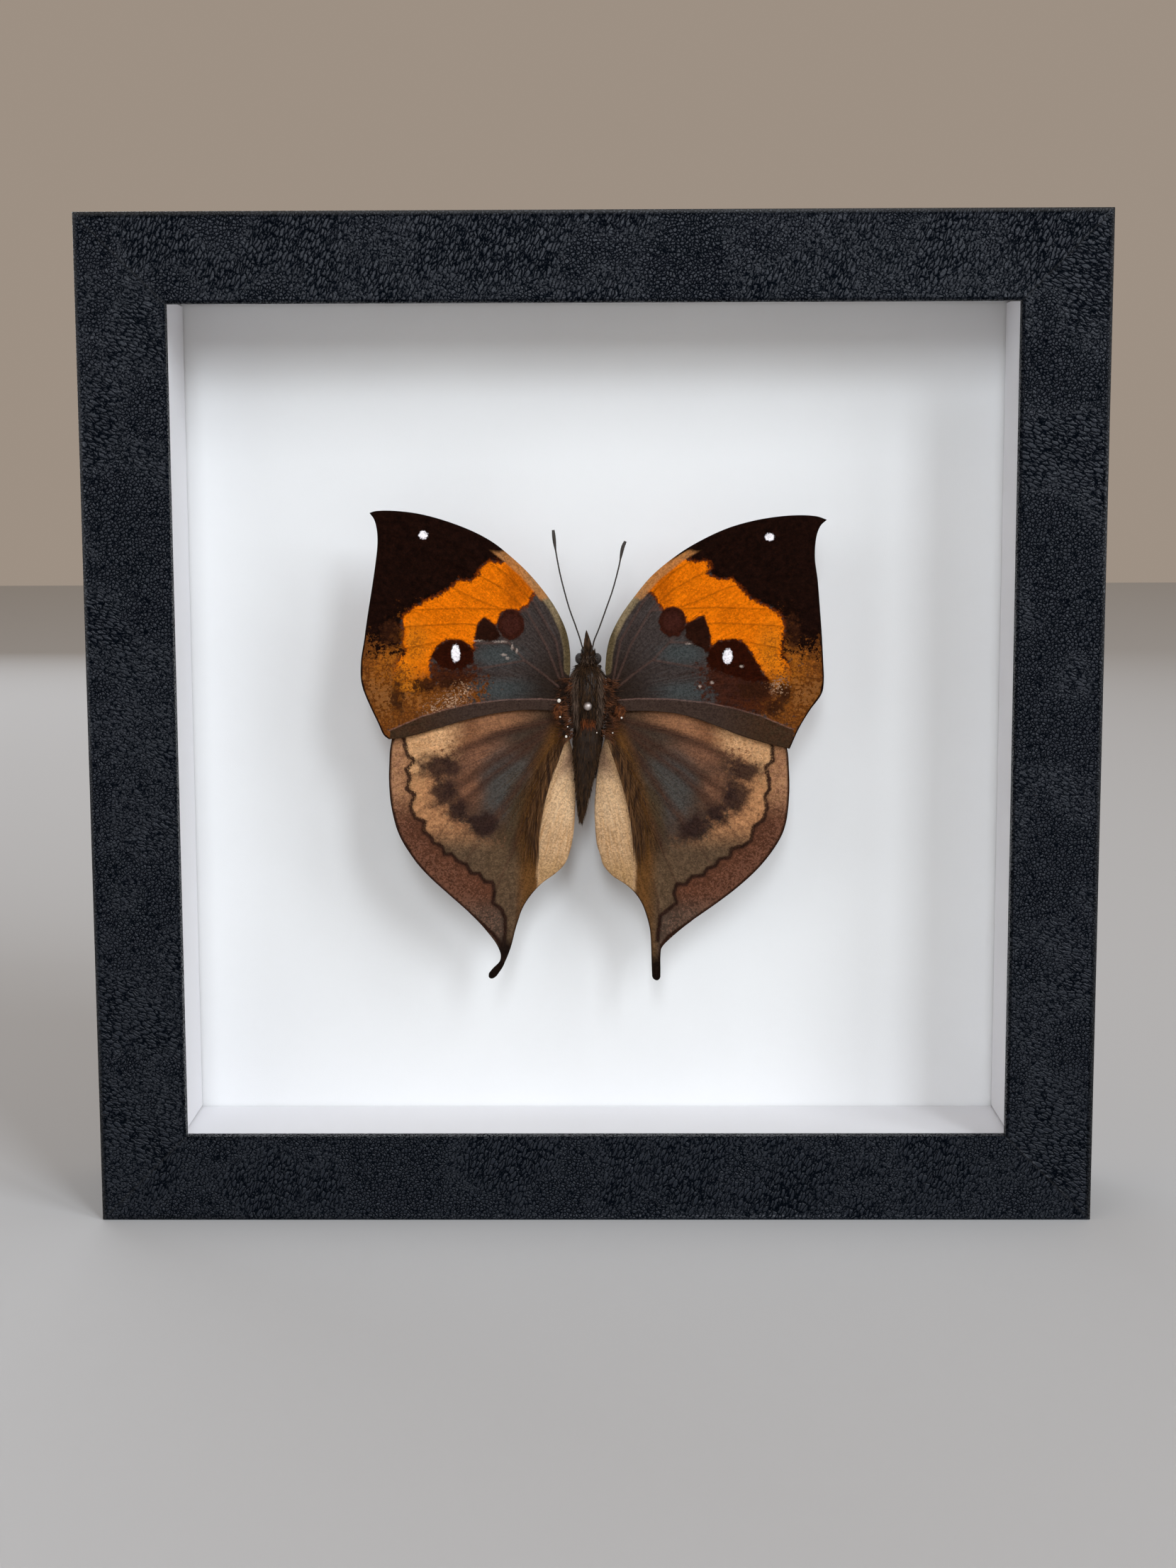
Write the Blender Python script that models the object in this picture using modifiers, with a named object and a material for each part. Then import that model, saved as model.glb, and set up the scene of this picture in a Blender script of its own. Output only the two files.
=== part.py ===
"""Framed butterfly specimen: a shadow box frame with a pinned oakleaf butterfly behind glass.

The box stands upright on its bottom edge. X points right, Z points up and the glass faces -Y.
The origin is the middle of the box's footprint. All lengths are in metres.
"""
import math

import bmesh
import bpy
from mathutils import Matrix, Vector

MM = 0.001
GAP = 0.3 * MM

# Frame rails
FRAME_SIDE = 200 * MM
FRAME_DEPTH = 40 * MM
RAIL_WIDTH = 17.5 * MM
LIP_THICKNESS = 3 * MM
RABBET_WIDTH = 5.5 * MM
OUTER_ROUND = 1.3 * MM
INNER_ROUND = 0.6 * MM
ROUND_STEPS = 4

# What the rabbet holds, from the front to the back
GLASS_THICKNESS = 2 * MM
LINER_THICKNESS = 3 * MM
MOUNT_BOARD_FACE = 31 * MM
MOUNT_BOARD_THICKNESS = 3 * MM
BACK_PANEL_THICKNESS = 2.5 * MM
RABBET_CLEARANCE = 0.5 * MM

# Framer's points, two to a rail
POINT_WIDTH = 14 * MM
POINT_LENGTH = 11 * MM
POINT_THICKNESS = 0.5 * MM
POINT_REACH = 4.5 * MM
POINT_SPACING = 90 * MM

# Sawtooth hanger on the back of the top rail
HANGER_LENGTH = 45 * MM
HANGER_HEIGHT = 8 * MM
HANGER_PLATE = 0.7 * MM
HANGER_RISE = 1.4 * MM
HANGER_BEND = 1.5 * MM
HANGER_TAB = 7 * MM
TOOTH_COUNT = 11
TOOTH_HEIGHT = 1.4 * MM
NAIL_HEAD_RADIUS = 1.5 * MM
NAIL_HEAD_HEIGHT = 0.4 * MM
NAIL_SHANK_RADIUS = 0.6 * MM
NAIL_LENGTH = 8 * MM

# The hanger stands this far behind the rails
BACK_STANDOFF = GAP + HANGER_PLATE + HANGER_RISE
FRONT_Y = -(FRAME_DEPTH + BACK_STANDOFF) / 2
BACK_Y = FRONT_Y + FRAME_DEPTH

HALF_SIDE = FRAME_SIDE / 2
RABBET_HALF = HALF_SIDE - RAIL_WIDTH + RABBET_WIDTH
CENTRE_Z = HALF_SIDE

# The specimen's own origin is the pin, on the plane where the wings leave the body
PIN_X = -1.3 * MM
PIN_Z = 103.5 * MM
WING_PLANE_Y = FRONT_Y + 14 * MM
WING_RISE = 0.07
WING_THICKNESS = 0.3 * MM
FOREWING_LIFT = 0.75 * MM
HINDWING_DROP = 0.45 * MM

# Edges of the wings, in millimetres right of and above the pin, each from the body outwards
FOREWING_LEFT = {
    "front": [(-3.5, 7.3), (-3.6, 11.3), (-4.4, 15.2), (-6.4, 19.5), (-9.1, 23.4), (-12.1, 26.9),
              (-15.4, 30.0), (-18.9, 32.8), (-23.1, 35.1), (-28.3, 37.1), (-33.5, 38.5), (-38.3, 39.1),
              (-41.8, 39.1), (-43.3, 38.7)],
    "margin": [(-43.3, 38.7), (-42.4, 37.4), (-41.9, 35.4), (-41.8, 32.7), (-42.2, 29.1), (-43.0, 24.0),
               (-43.9, 18.8), (-44.7, 13.6), (-45.4, 9.4), (-45.5, 5.7), (-44.9, 3.0), (-43.6, -0.2),
               (-42.1, -3.5), (-41.2, -5.6), (-40.1, -6.6)],
    "rear": [(-4.6, -1.2), (-11.7, -0.9), (-17.6, -1.4), (-24.1, -2.7), (-30.7, -4.6), (-36.6, -6.2),
             (-40.1, -6.6)],
}
FOREWING_RIGHT = {
    "front": [(3.5, 7.3), (3.8, 10.6), (4.6, 13.9), (6.6, 17.9), (9.6, 22.1), (13.2, 26.3), (18.3, 30.4),
              (23.2, 33.3), (28.1, 35.5), (33.0, 36.9), (37.7, 37.7), (41.9, 38.0), (45.4, 37.8),
              (47.6, 37.1)],
    "margin": [(47.6, 37.1), (46.3, 35.8), (45.5, 33.4), (45.3, 29.5), (45.9, 25.0), (46.4, 19.2),
               (46.8, 14.3), (47.1, 9.4), (47.3, 5.2), (46.8, 2.3), (44.5, -1.0), (42.4, -4.6),
               (40.6, -8.7)],
    "rear": [(4.6, -1.2), (12.6, -1.2), (17.9, -1.7), (21.8, -2.7), (26.3, -4.3), (30.2, -5.9),
             (34.0, -7.1), (37.0, -7.9), (40.6, -8.7)],
}
HINDWING_LEFT = {
    "front": [(-4.4, 1.2), (-14.0, 3.0), (-25.0, 1.8), (-34.0, -1.4), (-38.7, -4.6), (-39.9, -8.2),
              (-40.2, -11.6), (-40.3, -15.4), (-39.9, -20.6), (-38.4, -26.3), (-35.5, -31.3),
              (-32.5, -34.9), (-28.7, -38.5), (-24.8, -42.1), (-21.8, -44.9), (-19.4, -47.2),
              (-18.0, -49.3), (-17.7, -51.1), (-18.3, -52.8), (-19.6, -54.1), (-20.5, -55.2)],
    "margin": [(-20.5, -55.2), (-20.5, -56.0), (-19.9, -56.3), (-19.2, -56.0), (-18.8, -55.5)],
    "rear": [(-4.3, -7.6), (-3.6, -10.5), (-3.3, -13.4), (-3.0, -17.3), (-2.9, -23.1), (-3.1, -26.7),
             (-3.7, -29.8), (-4.8, -32.7), (-6.7, -34.7), (-9.6, -36.8), (-12.0, -39.4), (-13.7, -42.2),
             (-14.9, -45.8), (-15.9, -49.6), (-17.0, -52.5), (-18.0, -54.3), (-18.8, -55.5)],
}
HINDWING_RIGHT = {
    "front": [(4.4, 1.2), (14.0, 2.6), (25.0, 0.6), (34.0, -3.2), (38.9, -6.0), (40.2, -8.9),
              (40.6, -13.2), (40.7, -17.0), (40.5, -20.9), (40.0, -24.2), (38.9, -27.2), (36.6, -30.8),
              (33.7, -34.2), (30.1, -37.5), (26.3, -40.5), (22.3, -43.4), (18.8, -45.9), (16.3, -47.7),
              (15.0, -49.5), (14.7, -51.7), (14.7, -54.1), (14.7, -56.1)],
    "margin": [(14.7, -56.1), (14.4, -56.6), (13.9, -56.8), (13.3, -56.5), (13.0, -56.0)],
    "rear": [(4.3, -7.6), (3.3, -10.5), (2.6, -13.6), (2.1, -16.5), (1.5, -21.2), (1.4, -25.1),
             (1.7, -28.6), (2.4, -31.0), (3.1, -33.2), (4.9, -35.3), (7.5, -37.0), (9.5, -38.8),
             (11.0, -41.1), (12.0, -43.9), (12.6, -46.6), (12.8, -49.8), (12.9, -53.7), (13.0, -56.0)],
}
FOREWING_GRID = (18, 14)
HINDWING_GRID = (38, 8)
FOLD_DROP = 2.2 * MM
FOLD_WIDTH = 7 * MM

# Body: half sizes in X, Y and Z, and places from the pin
THORAX_HALF = Vector((3.8, 3.4, 7.6)) * MM
THORAX_PLACE = Vector((0.0, 0.6, 1.2)) * MM
HEAD_HALF = Vector((2.2, 2.0, 2.0)) * MM
HEAD_PLACE = Vector((0.1, 0.6, 9.3)) * MM
EYE_RADIUS = 1.15 * MM
EYE_SPREAD = 1.75 * MM
EYE_FORWARD = 0.5 * MM
# Radius and height of a palp's side, in millimetres, from its point down to where it enters the head
PALP_SIDE = [(0.0, 5.9), (0.2, 5.2), (0.5, 4.1), (0.8, 2.5), (0.9, 1.0), (0.0, 0.0)]
PALP_SPREAD = 0.45 * MM
PALP_LEAN = math.radians(4.6)
# Half width and height of the abdomen's side, in millimetres, from its top to its tip
ABDOMEN_SIDE = [(2.9, 0.0), (3.0, -2.5), (2.75, -6.0), (2.25, -9.4), (1.8, -12.6), (1.35, -15.4),
                (0.8, -18.2), (0.0, -21.6)]
ABDOMEN_TOP = Vector((0.15, 1.0, -3.2)) * MM
ABDOMEN_LEAN = math.radians(4.6)
ABDOMEN_FLATTEN = 0.9
ABDOMEN_RINGS = 8
RING_SWELL = 0.04

# Legs folded under the thorax: points right of, behind and above the pin, for the left side
LEG_RADIUS = 0.32 * MM
LEG_ROUTES = {
    "fore": [(-1.4, 2.6, 5.4), (-2.4, 4.6, 7.4), (-2.0, 5.6, 4.2), (-1.6, 5.9, 1.6)],
    "middle": [(-1.4, 2.8, 1.6), (-3.0, 5.0, 4.0), (-3.4, 6.6, -1.6), (-2.6, 7.2, -6.6), (-2.2, 7.4, -9.0)],
    "hind": [(-1.3, 2.8, -1.8), (-2.6, 5.0, -1.0), (-2.8, 6.8, -8.0), (-1.8, 7.4, -13.6), (-1.4, 7.6, -16.0)],
}

# Antennae: points right of, behind and above the pin, from the head to the club
ANTENNA_RADIUS = 0.19 * MM
CLUB_RADIUS = 0.36 * MM
CLUB_SHARE = 0.16
ANTENNA_STEPS = 16
ANTENNA_LEFT = [(-1.15, -1.5, 12.0), (-1.6, -1.8, 13.6), (-2.5, -2.1, 16.3), (-3.7, -2.3, 19.7),
                (-4.8, -2.4, 23.7), (-5.6, -2.4, 27.1), (-6.4, -2.3, 31.6), (-6.8, -2.2, 35.2)]
ANTENNA_RIGHT = [(1.05, -1.5, 12.0), (1.35, -1.8, 13.2), (2.4, -2.1, 15.8), (3.7, -2.3, 19.4),
                 (5.1, -2.4, 23.4), (6.3, -2.4, 27.9), (7.0, -2.3, 31.4), (7.6, -2.2, 32.9)]

# Pin
PIN_RADIUS = 0.25 * MM
PIN_HEAD_RADIUS = 0.85 * MM
PIN_HEAD_Y = -4.8 * MM
PIN_POINT = 1.2 * MM
PIN_IN_BOARD = 2.2 * MM
PIN_HOLE_RADIUS = PIN_RADIUS + GAP

# Rails in the order that quarter turns about +Y carry the bottom one round
RAIL_ORDER = ("bottom", "left", "top", "right")

PATH_STEPS = 12
RIGHT_ANGLE = math.pi / 2
# This turn carries +Z to -Y, and so lays a turned piece's top towards the glass
FACE_THE_GLASS = (RIGHT_ANGLE, 0, 0)


def clear_scene():
    """Remove whatever objects the file holds."""
    for scene_object in list(bpy.data.objects):
        bpy.data.objects.remove(scene_object, do_unlink=True)


def new_collection(name):
    """Add a collection to the scene."""
    collection = bpy.data.collections.new(name)
    bpy.context.scene.collection.children.link(collection)
    return collection


def new_material(name, colour, roughness, metallic=0.0):
    """A principled material of one colour."""
    material = bpy.data.materials.new(name)
    material.use_nodes = True
    shader = material.node_tree.nodes["Principled BSDF"]
    shader.inputs["Base Color"].default_value = (*colour, 1.0)
    shader.inputs["Roughness"].default_value = roughness
    shader.inputs["Metallic"].default_value = metallic
    return material


def new_object(name, mesh, collection, material=None, place=(0, 0, 0), turn=(0, 0, 0)):
    """Add an object that holds the mesh or curve."""
    made = bpy.data.objects.new(name, mesh)
    made.location = place
    made.rotation_euler = turn
    collection.objects.link(made)
    if material is not None and not mesh.materials:
        mesh.materials.append(material)
    return made


def hide_tool(tool):
    """Show a cutter or joined piece as wire only, and keep it out of the model."""
    tool.hide_render = True
    tool.display_type = "WIRE"
    return tool


def to_mesh(name, bm):
    """A mesh from a bmesh, which is freed."""
    mesh = bpy.data.meshes.new(name)
    bm.to_mesh(mesh)
    bm.free()
    return mesh


def box_mesh(name, size):
    """A box centred on its origin."""
    bm = bmesh.new()
    bmesh.ops.create_cube(bm, size=1.0)
    bmesh.ops.scale(bm, vec=size, verts=bm.verts)
    return to_mesh(name, bm)


def ball_mesh(name, half_sizes, segments=20, rings=12):
    """A ball stretched to three half sizes."""
    bm = bmesh.new()
    bmesh.ops.create_uvsphere(bm, u_segments=segments, v_segments=rings, radius=1.0)
    bmesh.ops.scale(bm, vec=half_sizes, verts=bm.verts)
    mesh = to_mesh(name, bm)
    mesh.shade_smooth()
    return mesh


def curve_to_mesh(curve_object):
    """A welded mesh of a curve object's evaluated form; the curve is removed."""
    evaluated = curve_object.evaluated_get(bpy.context.evaluated_depsgraph_get())
    mesh = bpy.data.meshes.new_from_object(evaluated)
    mesh.transform(curve_object.matrix_world)
    bpy.data.objects.remove(curve_object, do_unlink=True)
    bm = bmesh.new()
    bm.from_mesh(mesh)
    bmesh.ops.remove_doubles(bm, verts=bm.verts, dist=0.001 * MM)
    bmesh.ops.recalc_face_normals(bm, faces=bm.faces)
    bm.to_mesh(mesh)
    bm.free()
    return mesh


def flat_mesh(name, outline, thickness, collection, turn, place=(0, 0, 0)):
    """A plate with a flat outline in XY, extruded evenly to a thickness, then turned and placed."""
    curve = bpy.data.curves.new(name, "CURVE")
    curve.dimensions = "2D"
    curve.fill_mode = "BOTH"
    curve.extrude = thickness / 2
    spline = curve.splines.new("POLY")
    spline.points.add(len(outline) - 1)
    for point, (x, y) in zip(spline.points, outline):
        point.co = (x, y, 0, 1)
    spline.use_cyclic_u = True
    plate = new_object(name, curve, collection, place=place, turn=turn)
    bpy.context.view_layer.update()
    return curve_to_mesh(plate)


def tube_curve(name, route, radii, collection, sides=2):
    """A round tube along the route, with a radius for each of its points."""
    curve = bpy.data.curves.new(name, "CURVE")
    curve.dimensions = "3D"
    curve.bevel_depth = 1.0
    curve.bevel_resolution = sides
    curve.use_fill_caps = True
    spline = curve.splines.new("POLY")
    spline.points.add(len(route) - 1)
    for point, place, radius in zip(spline.points, route, radii):
        point.co = (*place, 1)
        point.radius = radius
    return new_object(name, curve, collection)


def turned_object(name, profile, collection, material=None, place=(0, 0, 0), turn=(0, 0, 0), sides=16):
    """A turned piece: a profile of radius and height, from the top down, spun about Z."""
    bm = bmesh.new()
    corners = [bm.verts.new((radius, 0, height)) for radius, height in profile]
    for start, end in zip(corners, corners[1:]):
        bm.edges.new((start, end))
    made = new_object(name, to_mesh(name, bm), collection, material, place, turn)
    screw = made.modifiers.new("turn", "SCREW")
    screw.steps = sides
    screw.render_steps = sides
    screw.use_merge_vertices = True
    screw.merge_threshold = 0.001 * MM
    return made


def cylinder_tool(name, radius, length, tools, place):
    """A round cutter along Y."""
    bm = bmesh.new()
    bmesh.ops.create_cone(bm, cap_ends=True, segments=16, radius1=radius, radius2=radius, depth=length)
    tool = new_object(name, to_mesh(name, bm), tools, place=place, turn=FACE_THE_GLASS)
    return hide_tool(tool)


def add_boolean(target, tool, operation="DIFFERENCE"):
    """Cut the tool from the target, or join it on."""
    modifier = target.modifiers.new(tool.name, "BOOLEAN")
    modifier.operation = operation
    modifier.object = tool
    modifier.solver = "EXACT"


def smooth_path(points, count):
    """Evenly spaced places, count + 1 of them, on a smooth curve through the points."""
    knots = [Vector(point) for point in points]
    knots = [2 * knots[0] - knots[1], *knots, 2 * knots[-1] - knots[-2]]
    dense = []
    for before, start, end, after in zip(knots, knots[1:], knots[2:], knots[3:]):
        for step in range(PATH_STEPS):
            t = step / PATH_STEPS
            bend = 2 * before - 5 * start + 4 * end - after
            twist = 3 * start - before - 3 * end + after
            dense.append((2 * start + (end - before) * t + bend * t ** 2 + twist * t ** 3) / 2)
    dense.append(knots[-2])
    reach = [0.0]
    for start, end in zip(dense, dense[1:]):
        reach.append(reach[-1] + (end - start).length)
    places = []
    stretch = 0
    for index in range(count + 1):
        wanted = reach[-1] * index / count
        while stretch < len(dense) - 2 and reach[stretch + 1] < wanted:
            stretch += 1
        share = (wanted - reach[stretch]) / (reach[stretch + 1] - reach[stretch])
        places.append(dense[stretch].lerp(dense[stretch + 1], share))
    return places


def arc(centre, radius, start, end, steps):
    """Points on an arc, between two angles in degrees."""
    points = []
    for step in range(steps + 1):
        angle = math.radians(start + (end - start) * step / steps)
        points.append((centre[0] + radius * math.cos(angle), centre[1] + radius * math.sin(angle)))
    return points


def rail_section():
    """The rail's section: X runs inwards from the outer face, Y runs from the front to the back."""
    inner_corner = (RAIL_WIDTH - INNER_ROUND, INNER_ROUND)
    rabbet_wall = RAIL_WIDTH - RABBET_WIDTH
    return [
        *arc((OUTER_ROUND, OUTER_ROUND), OUTER_ROUND, 180, 270, ROUND_STEPS),
        *arc(inner_corner, INNER_ROUND, 270, 360, ROUND_STEPS),
        (RAIL_WIDTH, LIP_THICKNESS),
        (rabbet_wall, LIP_THICKNESS),
        (rabbet_wall, FRAME_DEPTH),
        *arc((INNER_ROUND, FRAME_DEPTH - INNER_ROUND), INNER_ROUND, 90, 180, ROUND_STEPS // 2),
    ]


def point_depth():
    """How far behind the front face the middle of a framer's point lies."""
    back_panel_face = MOUNT_BOARD_FACE + MOUNT_BOARD_THICKNESS + GAP
    return back_panel_face + BACK_PANEL_THICKNESS + GAP + POINT_THICKNESS / 2


def rail_mesh(tools):
    """The bottom rail, with its outer face on Z = 0, mitred at both ends."""
    # The section's X becomes Z, its Y stays Y, and the extrusion runs along X
    mesh = flat_mesh("rail section", rail_section(), FRAME_SIDE + 10 * MM, tools,
                     turn=(0, -RIGHT_ANGLE, 0), place=(0, FRONT_Y, 0))
    bm = bmesh.new()
    bm.from_mesh(mesh)
    for side in (-1, 1):
        # Half of the gap at the joint, measured along X
        corner = Vector((side * (HALF_SIDE - GAP / 2 * math.sqrt(2)), 0, 0))
        cut = bmesh.ops.bisect_plane(bm, geom=[*bm.verts, *bm.edges, *bm.faces], plane_co=corner,
                                     plane_no=Vector((side, 0, 1)), clear_outer=True)
        rim = [item for item in cut["geom_cut"] if isinstance(item, bmesh.types.BMEdge)]
        bmesh.ops.holes_fill(bm, edges=rim)
    bmesh.ops.recalc_face_normals(bm, faces=bm.faces)
    bm.to_mesh(mesh)
    bm.free()
    return mesh


def around_the_box(turn):
    """Carries what is drawn on the bottom rail to the rail that is so many quarter turns on."""
    spin = Matrix.Rotation(turn * RIGHT_ANGLE, 4, "Y")
    middle = Matrix.Translation((0, 0, CENTRE_Z))
    return middle @ spin @ middle.inverted()


def cut_point_slots(rail, turn, tools):
    """Cut the two slots in a rail that its framer's points are pushed into."""
    depth = POINT_LENGTH - POINT_REACH + GAP
    overrun = MM
    size = (POINT_WIDTH + 2 * GAP, POINT_THICKNESS + 2 * GAP, depth + overrun)
    slot = box_mesh("point slot", size)
    slot_z = RAIL_WIDTH - RABBET_WIDTH + overrun - size[2] / 2
    for side in (-1, 1):
        cutter = hide_tool(new_object("point slot", slot, tools))
        place = (side * POINT_SPACING / 2, FRONT_Y + point_depth(), slot_z)
        cutter.matrix_world = around_the_box(turn) @ Matrix.Translation(place)
        add_boolean(rail, cutter)


def build_rails(parts, tools, leatherette):
    """Four rails round the box, each turned about its middle."""
    mesh = rail_mesh(tools)
    rails = {}
    for turn, side in enumerate(RAIL_ORDER):
        rail = new_object(f"rail_{side}", mesh, parts, leatherette)
        rail.matrix_world = around_the_box(turn)
        cut_point_slots(rail, turn, tools)
        rails[side] = rail
    return rails


def build_boards(parts, glass, board, panel):
    """The glass, the mount board and the back panel, one behind the other in the rabbet."""
    width = 2 * (RABBET_HALF - RABBET_CLEARANCE)
    stack = (
        ("glass_pane", LIP_THICKNESS + GAP, GLASS_THICKNESS, glass),
        ("mount_board", MOUNT_BOARD_FACE, MOUNT_BOARD_THICKNESS, board),
        ("back_panel", MOUNT_BOARD_FACE + MOUNT_BOARD_THICKNESS + GAP, BACK_PANEL_THICKNESS, panel),
    )
    made = {}
    for name, depth, thickness, material in stack:
        place = (0, FRONT_Y + depth + thickness / 2, CENTRE_Z)
        mesh = box_mesh(name, (width, thickness, width))
        made[name] = new_object(name, mesh, parts, material, place)
    return made


def build_liners(parts, board):
    """White strips on the rabbet's walls, from the glass to the mount board; the sides fit between."""
    front = LIP_THICKNESS + GLASS_THICKNESS + 2 * GAP
    depth = MOUNT_BOARD_FACE - GAP - front
    long_side = 2 * (RABBET_HALF - RABBET_CLEARANCE)
    short_side = long_side - 2 * (LINER_THICKNESS + GAP)
    offset = long_side / 2 - LINER_THICKNESS / 2
    y = FRONT_Y + front + depth / 2
    lying = box_mesh("liner lying", (long_side, depth, LINER_THICKNESS))
    standing = box_mesh("liner standing", (LINER_THICKNESS, depth, short_side))
    new_object("liner_top", lying, parts, board, (0, y, CENTRE_Z + offset))
    new_object("liner_bottom", lying, parts, board, (0, y, CENTRE_Z - offset))
    new_object("liner_left", standing, parts, board, (-offset, y, CENTRE_Z))
    new_object("liner_right", standing, parts, board, (offset, y, CENTRE_Z))


def build_points(parts, tools, steel):
    """Thin pointed plates pushed into the rabbet's walls, which hold the back panel in."""
    half = POINT_WIDTH / 2
    shoulder = POINT_LENGTH - half
    outline = [(-half, 0), (half, 0), (half, -shoulder), (0, -POINT_LENGTH), (-half, -shoulder)]
    mesh = flat_mesh("framer point", outline, POINT_THICKNESS, tools, turn=FACE_THE_GLASS)
    exposed_end = RAIL_WIDTH - RABBET_WIDTH + POINT_REACH
    for turn, rail in enumerate(RAIL_ORDER):
        for number, side in enumerate((-1, 1), start=1):
            made = new_object(f"point_{rail}_{number}", mesh, parts, steel)
            place = (side * POINT_SPACING / 2, FRONT_Y + point_depth(), exposed_end)
            made.matrix_world = around_the_box(turn) @ Matrix.Translation(place)


def hanger_outline():
    """The hanger's outline: two nailing tabs, and saw teeth along the lower edge between them."""
    half, top, bottom = HANGER_LENGTH / 2, HANGER_HEIGHT / 2, -HANGER_HEIGHT / 2
    toothed = HANGER_LENGTH - 2 * (HANGER_TAB + HANGER_BEND)
    pitch = toothed / TOOTH_COUNT
    outline = [(-half, top), (-half, bottom), (-toothed / 2, bottom)]
    for tooth in range(TOOTH_COUNT):
        left = -toothed / 2 + tooth * pitch
        outline.append((left + pitch / 2, bottom + TOOTH_HEIGHT))
        outline.append((left + pitch, bottom))
    outline += [(half, bottom), (half, top)]
    return outline


def raise_middle(mesh):
    """Bend the hanger's toothed middle away from the wood, so that a wall nail's head fits behind it."""
    bm = bmesh.new()
    bm.from_mesh(mesh)
    foot = HANGER_LENGTH / 2 - HANGER_TAB
    for bend in (-foot, HANGER_BEND - foot, foot - HANGER_BEND, foot):
        bmesh.ops.bisect_plane(bm, geom=[*bm.verts, *bm.edges, *bm.faces], dist=0.01 * MM,
                               plane_co=(bend, 0, 0), plane_no=(1, 0, 0))
    for vertex in bm.verts:
        climb = (foot - abs(vertex.co.x)) / HANGER_BEND
        vertex.co.y += HANGER_RISE * min(1.0, max(0.0, climb))
    bm.to_mesh(mesh)
    bm.free()


def build_hanger(parts, tools, brass, rails):
    """A sawtooth hanger nailed to the back of the top rail."""
    place_z = FRAME_SIDE - (RAIL_WIDTH - RABBET_WIDTH) / 2
    mesh = flat_mesh("hanger", hanger_outline(), HANGER_PLATE, tools, turn=FACE_THE_GLASS)
    raise_middle(mesh)
    place = (0, BACK_Y + GAP + HANGER_PLATE / 2, place_z)
    hanger = new_object("hanger", mesh, parts, brass, place)

    nail_profile = [(0, 0), (NAIL_HEAD_RADIUS, 0), (NAIL_HEAD_RADIUS, -NAIL_HEAD_HEIGHT),
                    (NAIL_SHANK_RADIUS, -NAIL_HEAD_HEIGHT), (NAIL_SHANK_RADIUS, -NAIL_LENGTH + MM),
                    (0, -NAIL_LENGTH)]
    nail_y = BACK_Y + HANGER_PLATE + 2 * GAP + NAIL_HEAD_HEIGHT
    for name, side in (("left", -1), ("right", 1)):
        nail_x = side * (HANGER_LENGTH - HANGER_TAB) / 2
        place = (nail_x, nail_y, place_z)
        turned_object(f"hanger_nail_{name}", nail_profile, parts, brass, place, (-RIGHT_ANGLE, 0, 0))
        bore = cylinder_tool("nail hole", NAIL_SHANK_RADIUS + GAP, 2 * NAIL_LENGTH + MM, tools,
                             (nail_x, nail_y, place_z))
        add_boolean(hanger, bore)
        add_boolean(rails["top"], bore)


def wing_y(x, lift, from_rear_edge, share_out):
    """Depth of a wing's middle surface: wings rise towards the glass, and a hindwing's inner fold dips."""
    into_fold = max(0.0, 1.0 - from_rear_edge / FOLD_WIDTH)
    return WING_PLANE_Y - WING_RISE * abs(x) - lift + FOLD_DROP * (1 - share_out) * into_fold ** 2


def wing_sheet(name, edges, grid, lift, has_fold):
    """An open sheet between a wing's front and rear edges, from its base to its margin."""
    rows, columns = grid
    front = smooth_path(edges["front"], rows)
    rear = smooth_path(edges["rear"], rows)
    margin = smooth_path(edges["margin"], columns)
    bm = bmesh.new()
    bmesh.ops.create_grid(bm, x_segments=rows, y_segments=columns, size=0.5)
    for vertex in bm.verts:
        u, v = vertex.co.x + 0.5, vertex.co.y + 0.5
        row, column = round(u * rows), round(v * columns)
        across = front[row].lerp(rear[row], v)
        straight = front[-1].lerp(rear[-1], v)
        place = (across + u * (margin[column] - straight)) * MM
        from_rear_edge = abs(place.x - rear[row].x * MM) if has_fold else math.inf
        vertex.co = (place.x, wing_y(place.x, lift, from_rear_edge, u), place.y)
    return to_mesh(name, bm)


def build_wings(parts, forewing, hindwing):
    """Two pairs of wings, the forewings in front of the hindwings."""
    wings = (
        ("forewing_left", FOREWING_LEFT, FOREWING_GRID, FOREWING_LIFT, forewing),
        ("forewing_right", FOREWING_RIGHT, FOREWING_GRID, FOREWING_LIFT, forewing),
        ("hindwing_left", HINDWING_LEFT, HINDWING_GRID, -HINDWING_DROP, hindwing),
        ("hindwing_right", HINDWING_RIGHT, HINDWING_GRID, -HINDWING_DROP, hindwing),
    )
    for name, edges, grid, lift, material in wings:
        mesh = wing_sheet(name, edges, grid, lift, has_fold=material is hindwing)
        wing = new_object(name, mesh, parts, material, (PIN_X, 0, PIN_Z))
        thicken = wing.modifiers.new("membrane", "SOLIDIFY")
        thicken.thickness = WING_THICKNESS
        thicken.offset = 0
        mesh.shade_smooth()


def specimen_place(offset=(0, 0, 0)):
    """A place measured from the pin, on the plane of the wings."""
    return Vector((PIN_X, WING_PLANE_Y, PIN_Z)) + Vector(offset)


def abdomen_profile():
    """The abdomen's radius and height from its top to its tip, with a swelling for each ring."""
    steps = 3 * ABDOMEN_RINGS
    profile = [(0.0, 0.0)]
    for step, place in enumerate(smooth_path(ABDOMEN_SIDE, steps)):
        swell = 1 + RING_SWELL * math.cos(2 * math.pi * step / steps * ABDOMEN_RINGS)
        profile.append((place.x * swell * MM, place.y * MM))
    profile[-1] = (0.0, profile[-1][1])
    return profile


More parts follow.
